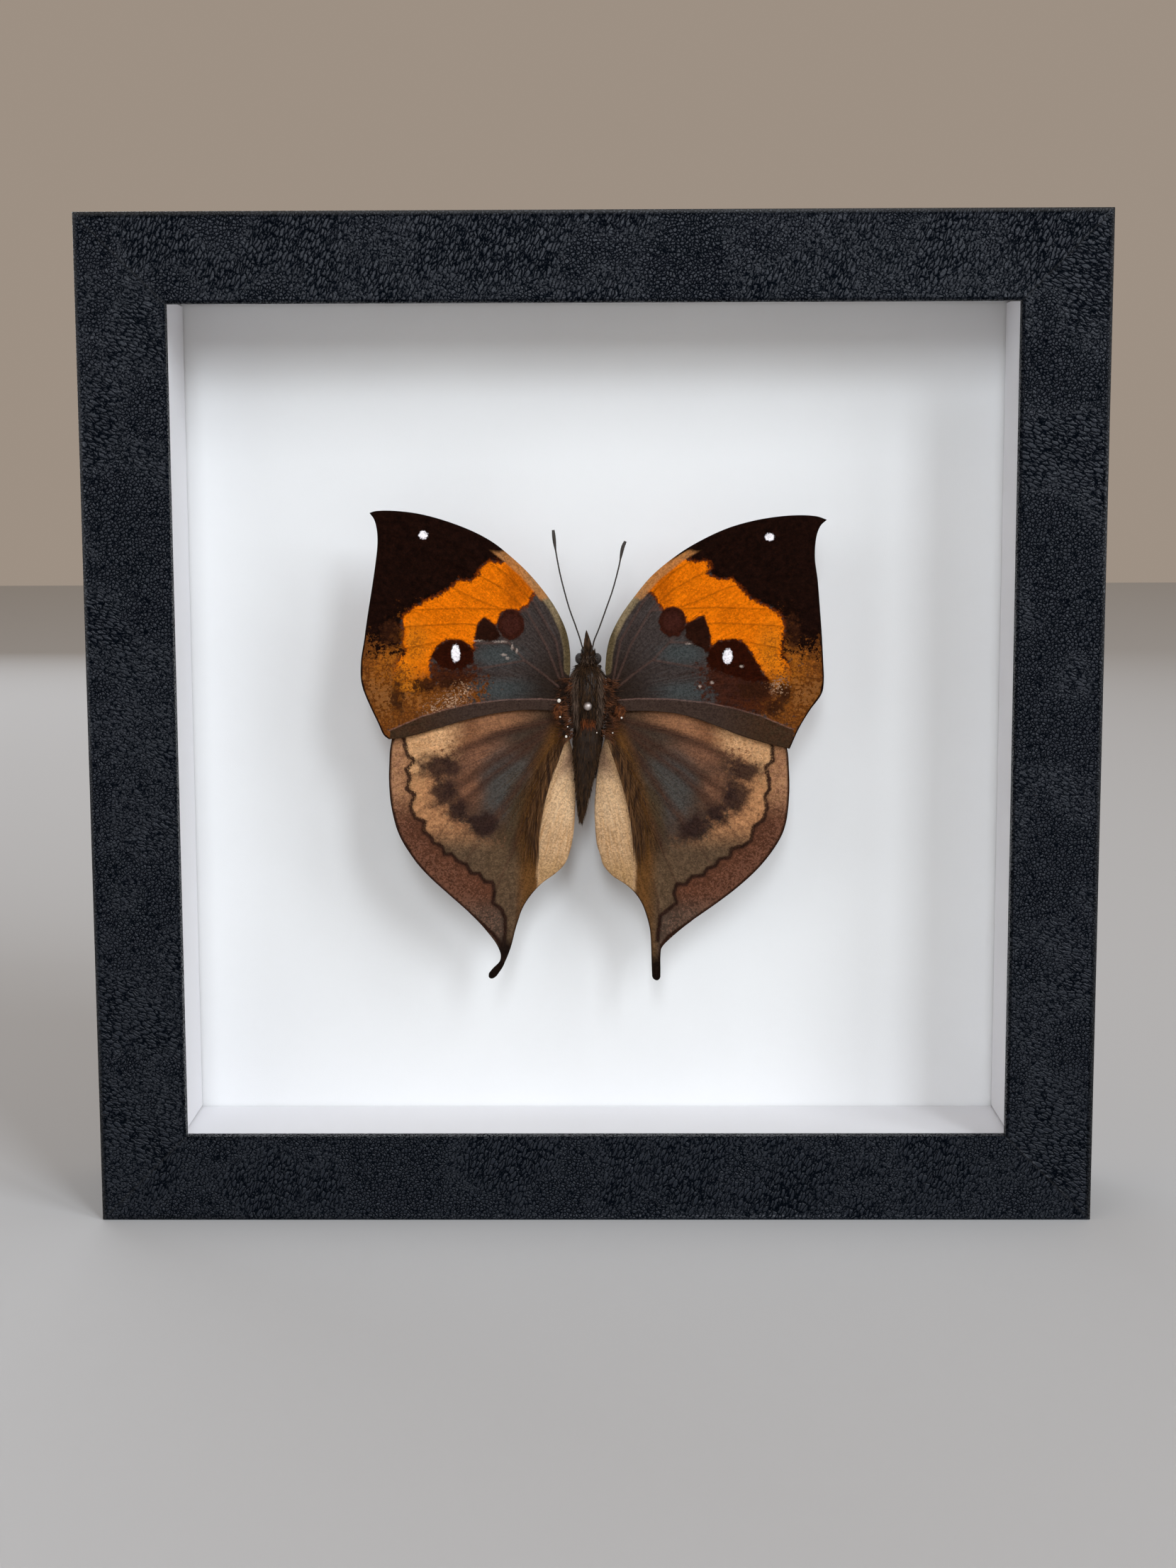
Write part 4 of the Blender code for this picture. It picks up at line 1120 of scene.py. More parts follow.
FOREWING_MARKINGS: tuple[Marking, ...] = (
    Marking("blue", "#434a4b", "#383b3a", soft=2.6, ruffle=0.6, texture=Texture.STREAK, cover=0.8),
    Marking("root", "#2b2019", "#1f1712", start=-13.0, soft=11.0, texture=Texture.STREAK, cover=0.9),
    Marking("vein", "#634840", "#43302a", start=-0.2, soft=0.22, texture=Texture.STREAK, cover=0.5),
    Marking("apex", "#0d0402", "#1e0d08", soft=0.7, ruffle=0.5, texture=Texture.MOTTLE),
    Marking("rust", "#7a461e", "#48260f", start=0.2, soft=2.8, ruffle=5.0, texture=Texture.MOTTLE),
    Marking("rust", "#9a5a1e", "#663712", start=2.0, soft=1.6, ruffle=4.5, texture=Texture.DUST, cover=0.6),
    Marking("gold", "#bd6f1d", "#8d4c14", soft=3.0, ruffle=3.2, texture=Texture.MOTTLE, cover=0.85),
    Marking("shadow", "#2a1109", "#421d0f", start=-0.6, soft=3.0, ruffle=2.6, texture=Texture.MOTTLE, cover=0.9),
    Marking("band", "#552104", "#6f2d05", start=-0.35, soft=0.9, ruffle=0.5, texture=Texture.MOTTLE,
            within=("above", 8.0, 4.0)),
    Marking("band", "#e97606", "#d66704", start=0.15, soft=0.5, ruffle=0.45, texture=Texture.MOTTLE,
            within=("above", 6.4, 5.0)),
    Marking("band", "#b35504", "#a34b05", start=0.4, soft=1.2, cover=0.7, within=("inward", -16.6, 3.5)),
    Marking("gold", "#dd841a", "#d47613", soft=5.0, cover=0.6, within=("band", 0.6, 1.2)),
    Marking("vein", "#8f4503", "#a45205", start=-0.16, soft=0.22, cover=0.7, within=("band", 0.3, 0.6)),
    Marking("band", "#8a4206", "#7a3806", start=2.2, soft=0.3, ruffle=2.2, texture=Texture.DUST, cover=0.18),
    Marking("rust", "#43210d", "#8a4f1f", start=3.4, soft=2.0, ruffle=3.6, texture=Texture.MOTTLE, cover=0.4),
    Marking("rust", "#2a1207", "#3d1c0b", start=5.8, soft=2.0, ruffle=6.0, texture=Texture.DUST, cover=0.6),
    Marking("gold", "#3a1a08", "#552a0d", start=2.8, soft=1.6, ruffle=3.4, texture=Texture.DUST, cover=0.6),
    Marking("rust", "#b9824c", "#99602c", start=6.8, soft=1.6, ruffle=5.0, texture=Texture.MOTTLE, cover=0.35),
    Marking("smudge", "#241008", "#341a0d", soft=1.2, ruffle=1.1, texture=Texture.MOTTLE, cover=0.9),
    Marking("squiggle", "#1f0e07", "#2c1408", start=-0.24, soft=0.3, ruffle=0.25, texture=Texture.DUST),
    Marking("brown_spot", "#2a110b", "#35170f", soft=0.5, ruffle=0.3, texture=Texture.MOTTLE),
    Marking("brown_spot", "#412019", "#331711", start=0.9, soft=1.0, texture=Texture.MOTTLE, cover=0.8),
    Marking("peaked_spot", "#1e0c06", "#29120a", soft=0.5, ruffle=0.3, texture=Texture.MOTTLE),
    Marking("eye_patch", "#200801", "#2e0e05", soft=0.6, ruffle=0.45, texture=Texture.MOTTLE),
    Marking("cream", "#f0cdab", "#5e3a22", start=1.0, soft=0.4, ruffle=2.2, texture=Texture.DUST, cover=0.75),
    Marking("grey_hem", "#42332c", "#31251f", start=0.15, soft=0.3, texture=Texture.STREAK),
    Marking("grey_hem", "#412a1c", "#35281b", start=0.15, soft=0.3, texture=Texture.MOTTLE,
            within=("outward", 30.0, 14.0)),
    Marking("hem_vein", "#80645b", "#62463d", start=-0.13, soft=0.2, texture=Texture.STREAK, cover=0.7),
    Marking("specks", "#c9b9ad", "#8d7a70", soft=0.3, ruffle=0.1, texture=Texture.DUST, cover=0.8),
    Marking("window", "#fbf5f8", "#ece3ea", soft=0.3, ruffle=0.1, texture=Texture.DUST),
    Marking("costa", "#948163", "#67573f", start=-1.2, soft=0.6, texture=Texture.STREAK, cover=0.9,
            within=("inward", -12.5, 3.0)),
    Marking("costa", "#54472f", "#3e3321", start=-1.15, soft=0.6, texture=Texture.STREAK, cover=0.9,
            within=("inward", -5.6, 1.5)),
    Marking("costa", "#bb793c", "#916846", start=-1.6, soft=0.5, texture=Texture.STREAK, cover=0.85,
            within=("band", -2.0, 1.0)),
    Marking("margin", "#120805", "#1a0d08", start=-0.3, soft=0.3, within=("outward", 17.0, 3.0)),
)
HINDWING_MARKINGS: tuple[Marking, ...] = (
    Marking("red", "#8f6146", "#543a2e", soft=6.0, ruffle=1.0, texture=Texture.STREAK, cover=0.95),
    Marking("slate", "#4a4a47", "#3f3834", soft=4.0, ruffle=0.8, texture=Texture.STREAK, cover=0.85),
    Marking("olive", "#4f3f2b", "#36281a", soft=2.8, ruffle=0.8, texture=Texture.STREAK, cover=0.85),
    Marking("beyond", "#66503b", "#4c3a2a", start=-8.0, soft=4.0, ruffle=1.6, texture=Texture.MOTTLE, cover=0.8),
    Marking("beyond", "#c48c60", "#8b5d3f", start=-6.8, soft=2.4, ruffle=3.0, texture=Texture.MOTTLE,
            cover=0.9, within=("above", -26.5, 8.0)),
    Marking("strip", "#865839", "#634230", soft=2.6, ruffle=0.9, texture=Texture.STREAK, cover=0.95),
    Marking("strip", "#a0704e", "#7b543d", start=0.3, soft=1.6, ruffle=0.6, texture=Texture.STREAK, cover=0.8,
            within=("inward", -22.5, 4.0)),
    Marking("strip", "#e2b283", "#b08158", start=0.2, soft=2.0, ruffle=3.2, texture=Texture.MOTTLE, cover=0.9,
            within=("outward", 27.0, 7.0)),
    Marking("root", "#403429", "#31271e", start=-13.5, soft=11.0, texture=Texture.STREAK, cover=0.85),
    Marking("vein", "#33211a", "#432b20", start=-0.9, soft=1.1, texture=Texture.STREAK, cover=0.55,
            within=("discal", 7.5, 5.0)),
    Marking("vein", "#3a241b", "#4a3024", start=-0.24, soft=0.3, texture=Texture.STREAK, cover=0.45),
    Marking("beyond", "#c79a68", "#a97650", start=-4.2, soft=1.0, ruffle=3.0, texture=Texture.DUST, cover=0.3,
            within=("above", -22.0, 8.0)),
    Marking("spots", "#3d2920", "#5a3f2f", start=-2.2, soft=3.0, ruffle=1.4, texture=Texture.MOTTLE, cover=0.35,
            within=("discal", 6.5, 3.0)),
    Marking("spots", "#1c1416", "#30201b", start=-0.35, soft=2.6, ruffle=1.1, cover=0.92),
    Marking("beyond", "#603b2a", "#4a2d20", start=0.1, soft=0.4, texture=Texture.MOTTLE),
    Marking("beyond", "#a87a55", "#80573f", start=0.1, soft=0.4, ruffle=0.2, texture=Texture.MOTTLE,
            within=("above", -20.0, 9.0)),
    Marking("beyond", "#57463a", "#43332a", start=0.1, soft=0.4, texture=Texture.MOTTLE,
            within=("below", 41.0, 6.0)),
    Marking("beyond", "#c59a78", "#a3765a", start=2.6, soft=1.0, ruffle=3.0, texture=Texture.DUST, cover=0.3,
            within=("above", -20.0, 7.0)),
    Marking("beyond", "#8a6350", "#7a5443", start=3.6, soft=0.6, ruffle=3.4, texture=Texture.DUST, cover=0.25),
    Marking("fold", "#744c25", "#4e3216", start=-3.6, soft=3.0, texture=Texture.STREAK, cover=0.85),
    Marking("fold", "#3a1f10", "#2c170c", start=-0.5, soft=0.5, cover=0.8, within=("above", -26.0, 8.0)),
    Marking("fold", "#d2ad86", "#a17a53", soft=0.9, ruffle=0.25, texture=Texture.STREAK),
    Marking("fold", "#e2bf98", "#c39d76", start=1.6, soft=2.0, texture=Texture.STREAK, cover=0.7,
            within=("above", -24.5, 6.0)),
    Marking("fold", "#85634f", "#6f5242", start=1.2, soft=2.2, texture=Texture.STREAK, cover=0.8,
            within=("above", -14.2, 5.0)),
    Marking("fold", "#b58f63", "#96744e", start=0.4, soft=0.6, texture=Texture.STREAK, cover=0.75,
            within=("below", 32.0, 5.0)),
    Marking("zigzag", "#1c100c", "#2c1a14", start=-0.4, soft=0.4, ruffle=0.2, texture=Texture.DUST, cover=0.95),
    Marking("margin", "#24140e", "#301c14", start=-0.4, soft=0.5, within=("outward", 12.0, 3.0)),
    Marking("hem", "#2e1d13", "#3d2818", start=-0.3, soft=0.4, within=("below", 38.0, 4.0)),
    Marking("tail", "#130c09", "#1d130e", soft=2.6, ruffle=0.3),
)

FOREWING_LEFT = WingEdges(
    front=((-3.5, 7.3), (-3.6, 11.3), (-4.4, 15.2), (-6.4, 19.5), (-9.1, 23.4), (-12.1, 26.9), (-15.4, 30.0),
           (-18.9, 32.8), (-23.1, 35.1), (-28.3, 37.1), (-33.5, 38.5), (-38.3, 39.1), (-41.8, 39.1),
           (-43.3, 38.7)),
    margin=((-43.3, 38.7), (-42.4, 37.4), (-41.9, 35.4), (-41.8, 32.7), (-42.2, 29.1), (-43.0, 24.0),
            (-43.9, 18.8), (-44.7, 13.6), (-45.4, 9.4), (-45.5, 5.7), (-44.9, 3.0), (-43.6, -0.2),
            (-42.1, -3.5), (-41.2, -5.6), (-40.1, -6.6)),
    rear=((-4.6, -1.2), (-11.7, -0.9), (-17.6, -1.4), (-24.1, -2.7), (-30.7, -4.6), (-36.6, -6.2),
          (-40.1, -6.6)),
)
FOREWING_RIGHT = WingEdges(
    front=((3.5, 7.3), (3.8, 10.6), (4.6, 13.9), (6.6, 17.9), (9.6, 22.1), (13.2, 26.3), (18.3, 30.4),
           (23.2, 33.3), (28.1, 35.5), (33.0, 36.9), (37.7, 37.7), (41.9, 38.0), (45.4, 37.8), (47.6, 37.1)),
    margin=((47.6, 37.1), (46.3, 35.8), (45.5, 33.4), (45.3, 29.5), (45.9, 25.0), (46.4, 19.2), (46.8, 14.3),
            (47.1, 9.4), (47.3, 5.2), (46.8, 2.3), (44.5, -1.0), (42.4, -4.6), (40.6, -8.7)),
    rear=((4.6, -1.2), (12.6, -1.2), (17.9, -1.7), (21.8, -2.7), (26.3, -4.3), (30.2, -5.9), (34.0, -7.1),
          (37.0, -7.9), (40.6, -8.7)),
)
HINDWING_LEFT = WingEdges(
    front=((-4.4, 1.2), (-14.0, 3.0), (-25.0, 1.8), (-34.0, -1.4), (-38.7, -4.6), (-39.9, -8.2),
           (-40.2, -11.6), (-40.3, -15.4), (-39.9, -20.6), (-38.4, -26.3), (-35.5, -31.3), (-32.5, -34.9),
           (-28.7, -38.5), (-24.8, -42.1), (-21.8, -44.9), (-19.4, -47.2), (-18.0, -49.3), (-17.7, -51.1),
           (-18.3, -52.8), (-19.6, -54.1), (-20.5, -55.2)),
    margin=((-20.5, -55.2), (-20.5, -56.0), (-19.9, -56.3), (-19.2, -56.0), (-18.8, -55.5)),
    rear=((-3.9, -7.6), (-3.0, -10.5), (-2.6, -13.4), (-2.6, -17.3), (-2.8, -23.1), (-3.1, -26.7),
          (-3.7, -29.8), (-4.8, -32.7), (-6.7, -34.7), (-9.6, -36.8), (-12.0, -39.4), (-13.7, -42.2),
          (-14.9, -45.8), (-15.9, -49.6), (-17.0, -52.5), (-18.0, -54.3), (-18.8, -55.5)),
)
HINDWING_RIGHT = WingEdges(
    front=((4.4, 1.2), (14.0, 2.6), (25.0, 0.6), (34.0, -3.2), (38.9, -6.0), (40.2, -8.9), (40.6, -13.2),
           (40.7, -17.0), (40.5, -20.9), (40.0, -24.2), (38.9, -27.2), (36.6, -30.8), (33.7, -34.2),
           (30.1, -37.5), (26.3, -40.5), (22.3, -43.4), (18.8, -45.9), (16.3, -47.7), (15.0, -49.5),
           (14.7, -51.7), (14.7, -54.1), (14.7, -56.1)),
    margin=((14.7, -56.1), (14.4, -56.6), (13.9, -56.8), (13.3, -56.5), (13.0, -56.0)),
    rear=((3.4, -7.6), (2.4, -10.5), (1.95, -13.6), (1.6, -16.5), (1.3, -21.2), (1.4, -25.1), (1.7, -28.6),
          (2.4, -31.0), (3.1, -33.2), (4.9, -35.3), (7.5, -37.0), (9.5, -38.8), (11.0, -41.1), (12.0, -43.9),
          (12.6, -46.6), (12.8, -49.8), (12.9, -53.7), (13.0, -56.0)),
)

LEFT_BAND_UPPER: Path = (
    (-15.4, 29.5), (-17.3, 28.7), (-19.6, 29.0), (-21.4, 27.7), (-21.6, 26.4), (-23.2, 25.1), (-25.8, 25.3),
    (-27.1, 23.9), (-29.1, 22.6), (-32.0, 21.3), (-34.3, 20.0), (-36.6, 18.4), (-37.3, 16.4), (-36.7, 14.8),
    (-37.3, 12.8), (-36.4, 11.5), (-37.4, 10.2))
LEFT_BAND_LOWER: Path = (
    (-10.9, 22.8), (-11.9, 20.8), (-13.8, 19.2), (-15.8, 19.4), (-17.3, 18.9), (-17.9, 17.0), (-18.7, 16.3),
    (-20.7, 17.8), (-22.0, 16.3), (-22.5, 13.4), (-23.4, 10.8), (-24.0, 12.4), (-25.9, 13.3), (-28.6, 13.3),
    (-30.2, 12.1), (-31.2, 10.3), (-31.9, 7.9))
RIGHT_BAND_UPPER: Path = (
    (18.3, 29.6), (21.6, 28.7), (23.8, 28.9), (24.7, 27.6), (23.7, 26.5), (26.5, 25.2), (29.0, 25.3),
    (30.4, 23.7), (32.6, 21.4), (34.9, 20.3), (37.2, 19.2), (38.8, 17.9), (39.5, 15.9), (39.3, 13.6),
    (38.7, 10.7))
RIGHT_BAND_LOWER: Path = (
    (13.4, 22.4), (14.1, 20.8), (15.4, 19.1), (17.4, 19.6), (19.0, 19.1), (19.8, 16.5), (21.3, 17.2),
    (23.2, 18.0), (23.9, 15.9), (24.5, 13.9), (24.9, 11.6), (26.2, 12.8), (28.1, 13.1), (30.9, 13.0),
    (32.4, 11.0), (34.0, 8.1), (35.7, 5.4))

LEFT_FOREWING_PATTERN = ForewingPattern(
    band=((-14.0, 32.0), *LEFT_BAND_UPPER, (-39.2, 7.4), (-39.2, 2.6), (-33.2, 2.2), (-31.2, 5.0), *reversed(LEFT_BAND_LOWER),
          (-7.0, 24.0)),
    apex=((-12.0, 32.0), *LEFT_BAND_UPPER, (-38.5, 9.6), (-42.0, 9.0), (-50.0, 8.0), (-50.0, 45.0),
          (-12.0, 45.0)),
    brown_spot=((-15.4, 16.3, 2.7, 3.1),),
    peaked_spot=((-22.8, 13.2), (-22.1, 16.3), (-20.8, 17.9), (-18.7, 16.3), (-17.3, 14.0), (-19.1, 13.0)),
    eye_patch=((-31.4, 10.0), (-30.1, 12.2), (-27.8, 13.4), (-25.2, 13.3), (-23.2, 11.8), (-22.9, 9.2),
               (-24.6, 7.4), (-27.6, 7.2), (-30.0, 8.2)),
    window=((-26.5, 10.6, 0.82, 1.75),),
    apex_spot=((-32.7, 34.3, 0.9, 0.8),),
    rust=((-31.0, 7.0), (-34.0, 8.0), (-37.0, 12.0), (-41.5, 11.4), (-48.0, 15.0), (-52.0, 0.0),
          (-41.0, -10.0), (-33.0, -4.4), (-24.0, -1.4), (-21.4, 2.6), (-24.0, 6.0)),
    gold=((-38.6, 7.0, 4.6, 3.8), (-35.0, 12.5, 3.2, 4.5), (-36.0, 3.6, 3.0, 2.4)),
    cream=((-27.4, 1.0, 2.8, 1.7), (-25.2, 3.0, 1.7, 1.7), (-30.8, -0.6, 2.2, 1.0)),
    blue=((-18.0, 10.2, 4.5, 2.0), (-17.0, 3.2, 7.5, 1.9)),
    shadow=((-32.0, 7.4), (-29.0, 8.4), (-24.2, 8.4), (-22.6, 6.2), (-25.0, 4.6), (-29.0, 4.2), (-33.6, 4.0)),
    specks=((-16.9, 10.3, 0.45, 0.22), (-16.1, 9.6, 0.35, 0.25), (-15.2, 11.9, 0.2, 0.5), (-14.3, 11.1, 0.2, 0.4),
            (-22.0, 13.1, 0.7, 0.13), (-17.6, 12.9, 0.9, 0.13)),
    smudges=((-38.4, 1.6, 1.0, 3.0), (-33.2, 4.2, 2.2, 1.4), (-28.2, 4.6, 2.0, 1.0), (-39.4, 15.0, 2.0, 2.6)),
    squiggle=((-38.6, 15.0), (-37.6, 13.4), (-38.6, 12.4), (-37.0, 11.2), (-36.8, 10.2)),
)
RIGHT_FOREWING_PATTERN = ForewingPattern(
    band=((17.0, 32.0), *RIGHT_BAND_UPPER, (40.8, 7.6), (41.0, 3.0), (37.0, 2.6), *reversed(RIGHT_BAND_LOWER), (9.0, 24.0)),
    apex=((15.0, 32.0), *RIGHT_BAND_UPPER, (40.6, 9.4), (43.0, 8.6), (52.0, 4.0), (52.0, 45.0), (15.0, 45.0)),
    brown_spot=((17.0, 16.8, 2.7, 3.1),),
    peaked_spot=((19.6, 16.2), (23.3, 18.1), (24.1, 16.0), (24.7, 14.0), (24.4, 10.6), (21.6, 12.2),
                 (19.6, 14.0)),
    eye_patch=((24.2, 11.2), (26.0, 13.0), (29.2, 13.4), (31.5, 12.5), (32.8, 10.7), (34.3, 8.0), (36.2, 5.2),
               (33.0, 4.8), (28.6, 6.2), (24.8, 7.2), (23.6, 9.2)),
    window=((28.1, 9.9, 0.95, 1.5),),
    apex_spot=((36.3, 33.7, 0.9, 0.75),),
    rust=((34.0, 9.4), (37.0, 9.0), (40.0, 12.2), (44.0, 10.8), (52.0, 13.0), (54.0, 0.0), (44.6, -7.0),
          (36.6, -4.6), (31.4, 0.4), (35.0, 4.0)),
    gold=((40.6, 6.8, 3.2, 3.4), (37.0, 10.6, 3.0, 5.0)),
    cream=((38.4, 4.0, 1.6, 1.3),),
    blue=((19.0, 10.4, 4.5, 2.0), (20.5, 2.8, 6.5, 1.8)),
    shadow=((26.0, 9.0), (31.0, 7.4), (36.6, 5.8), (37.4, 1.2), (34.0, -2.2), (26.8, -0.6), (24.2, 3.0), (23.6, 7.0)),
    specks=((22.5, 3.8, 0.3, 0.28), (25.0, 4.6, 0.3, 0.25), (30.9, 7.9, 0.4, 0.3), (20.4, 12.4, 0.5, 0.14)),
    smudges=((39.4, 2.6, 1.6, 2.0), (37.6, -0.6, 1.5, 1.5), (33.5, 3.2, 3.4, 1.9), (41.0, 15.0, 1.6, 3.0)),
    squiggle=((39.4, 13.6), (38.8, 12.0), (39.6, 11.0), (38.8, 10.0), (40.0, 9.0)),
)

LEFT_HINDWING_PATTERN = HindwingPattern(
    zigzag=((-37.4, -5.0), (-37.1, -7.4), (-36.6, -10.0), (-35.1, -11.1), (-36.8, -12.9), (-36.1, -14.6),
            (-36.7, -16.9), (-35.1, -18.1), (-36.1, -20.4), (-35.2, -22.8), (-33.1, -23.6), (-33.7, -25.5),
            (-32.0, -26.7), (-31.6, -27.9), (-29.7, -28.7), (-29.3, -30.4), (-27.8, -30.3), (-26.7, -31.8),
            (-24.8, -32.6), (-24.0, -34.4), (-22.3, -34.4), (-21.1, -36.2), (-19.6, -36.2), (-19.2, -38.2),
            (-19.6, -40.6), (-17.9, -41.8), (-17.1, -43.8), (-17.1, -46.5), (-17.4, -49.3)),
    spots=((-30.4, -12.4, 3.4, 2.1), (-29.4, -17.8, 2.2, 2.8), (-26.2, -21.6, 2.3, 1.8), (-21.4, -24.6, 2.6, 2.1),
           (-30.0, -15.2, 1.2, 1.2), (-27.8, -20.0, 1.3, 1.2), (-23.9, -23.2, 1.6, 1.1)),
    fold=((-4.6, -7.0), (-5.6, -9.5), (-7.3, -13.4), (-8.8, -18.0), (-10.0, -22.7), (-10.4, -27.4),
          (-10.5, -32.1), (-10.5, -36.8)),
    strip=((-6.0, -2.4), (-11.0, -3.5), (-19.8, -5.6), (-24.5, -8.4), (-27.6, -11.2), (-31.0, -10.8), (-34.0, -14.0),
           (-44.0, -18.0)),
    slate=((-16.6, -15.0, 5.2, 5.6), (-17.4, -20.0, 4.0, 5.0)),
    red=((-26.0, -10.0, 9.0, 4.6), (-27.0, -16.0, 6.0, 6.0)),
    olive=((-13.6, -26.0, 3.4, 11.0), (-17.0, -31.0, 3.6, 8.0)),
    tail=((-19.4, -54.6, 3.2, 3.6), (-17.0, -50.8, 2.0, 2.6)),
)
RIGHT_HINDWING_PATTERN = HindwingPattern(
    zigzag=((37.0, -6.0), (37.2, -8.8), (37.4, -11.3), (35.9, -12.6), (36.5, -14.7), (36.7, -17.1),
            (35.8, -18.4), (36.2, -20.9), (35.6, -23.3), (33.5, -24.7), (33.1, -27.6), (31.4, -28.8),
            (29.1, -29.4), (28.8, -31.1), (26.6, -31.5), (25.9, -32.9), (24.1, -33.5), (23.4, -34.9),
            (21.1, -35.1), (19.9, -36.7), (18.0, -36.7), (17.4, -38.7), (18.0, -40.6), (16.1, -42.2),
            (14.7, -43.4), (14.3, -46.2), (14.1, -48.6)),
    spots=((31.4, -13.6, 3.2, 2.1), (29.6, -18.9, 2.4, 2.8), (25.6, -22.8, 2.4, 1.8), (21.8, -25.2, 2.6, 2.1),
           (30.6, -16.3, 1.2, 1.2), (27.5, -21.2, 1.4, 1.1), (23.7, -24.2, 1.4, 1.1)),
    fold=((4.0, -7.0), (4.9, -9.1), (6.4, -13.4), (7.9, -18.1), (8.9, -22.7), (9.5, -27.4), (9.7, -32.1),
          (9.5, -37.6)),
    strip=((6.0, -2.6), (11.0, -3.6), (19.8, -6.2), (27.0, -9.2), (31.6, -10.6), (34.5, -14.0), (44.0, -18.0)),
    slate=((16.6, -15.4, 5.2, 5.6), (17.8, -20.5, 3.0, 4.6)),
    red=((26.5, -9.5, 8.0, 3.8), (28.5, -17.0, 5.0, 5.0)),
    olive=((12.4, -26.0, 3.2, 11.0), (14.2, -34.0, 3.0, 7.0)),
    tail=((13.9, -55.2, 2.4, 3.6),),
)


@dataclass
class Groom:
    """Grows hairs on a region of the specimen.

    Attributes:
        setting: Where the specimen is set.
        random: The seeded source of the hairs' differences.
        steps: Stretches in each hair.
    """

    setting: Setting
    random: np.random.Generator
    steps: int = 4

    def grow(self, count: int, root: Callable[[], tuple[Vector, Vector]], comb: Vector, length: tuple[float, float],
             radius: float, lift: float = 0.35, stray: float = 0.18, droop: float = 0.0) -> list[Strand]:
        """Grow hairs that start along the surface's normal and bend the way they are combed.

        Args:
            count: How many hairs.
            root: Gives a hair's root, in millimetres from the pin, and the normal there.
            comb: The way the hairs are combed.
            length: Shortest and longest, in millimetres.
            radius: A hair's radius at its root, in millimetres.
            lift: How far it stands off the surface.
            stray: How much its direction varies.
            droop: How much it bends back down on to the surface.

        Returns:
            The hairs.
        """
        hairs = []
        for _ in range(count):
            place, normal = root()
            reach = self.random.uniform(*length)
            flat = (comb - normal * comb.dot(normal)).normalized()
            way = flat + normal * lift + Vector(self.random.normal(0.0, stray, 3))
            way.normalize()
            route, radii = [], []
            for step in range(self.steps + 1):
                share = step / self.steps
                point = place + way * (reach * share) - normal * (droop * reach * share * share)
                route.append(self.setting.place(*point))
                radii.append(max(0.012, radius * (1.0 - share ** 1.5)) * MM)
            hairs.append(Strand(tuple(route), tuple(radii)))
        return hairs

    def on_ball(self, centre: Vector, half: Vector, keep: Callable[[Vector], bool]) -> Callable:
        """Roots spread over a ball.

        Args:
            centre: The ball's centre, in millimetres from the pin.
            half: Its half sizes.
            keep: Says whether hairs grow where the unit normal points that way.

        Returns:
            A function that gives a root and its normal.
        """
        def root() -> tuple[Vector, Vector]:
            while True:
                way = Vector(self.random.normal(size=3)).normalized()
                if keep(way):
                    place = centre + Vector(part * size for part, size in zip(way, half))
                    normal = Vector(part / size for part, size in zip(way, half)).normalized()
                    return place, normal
        return root


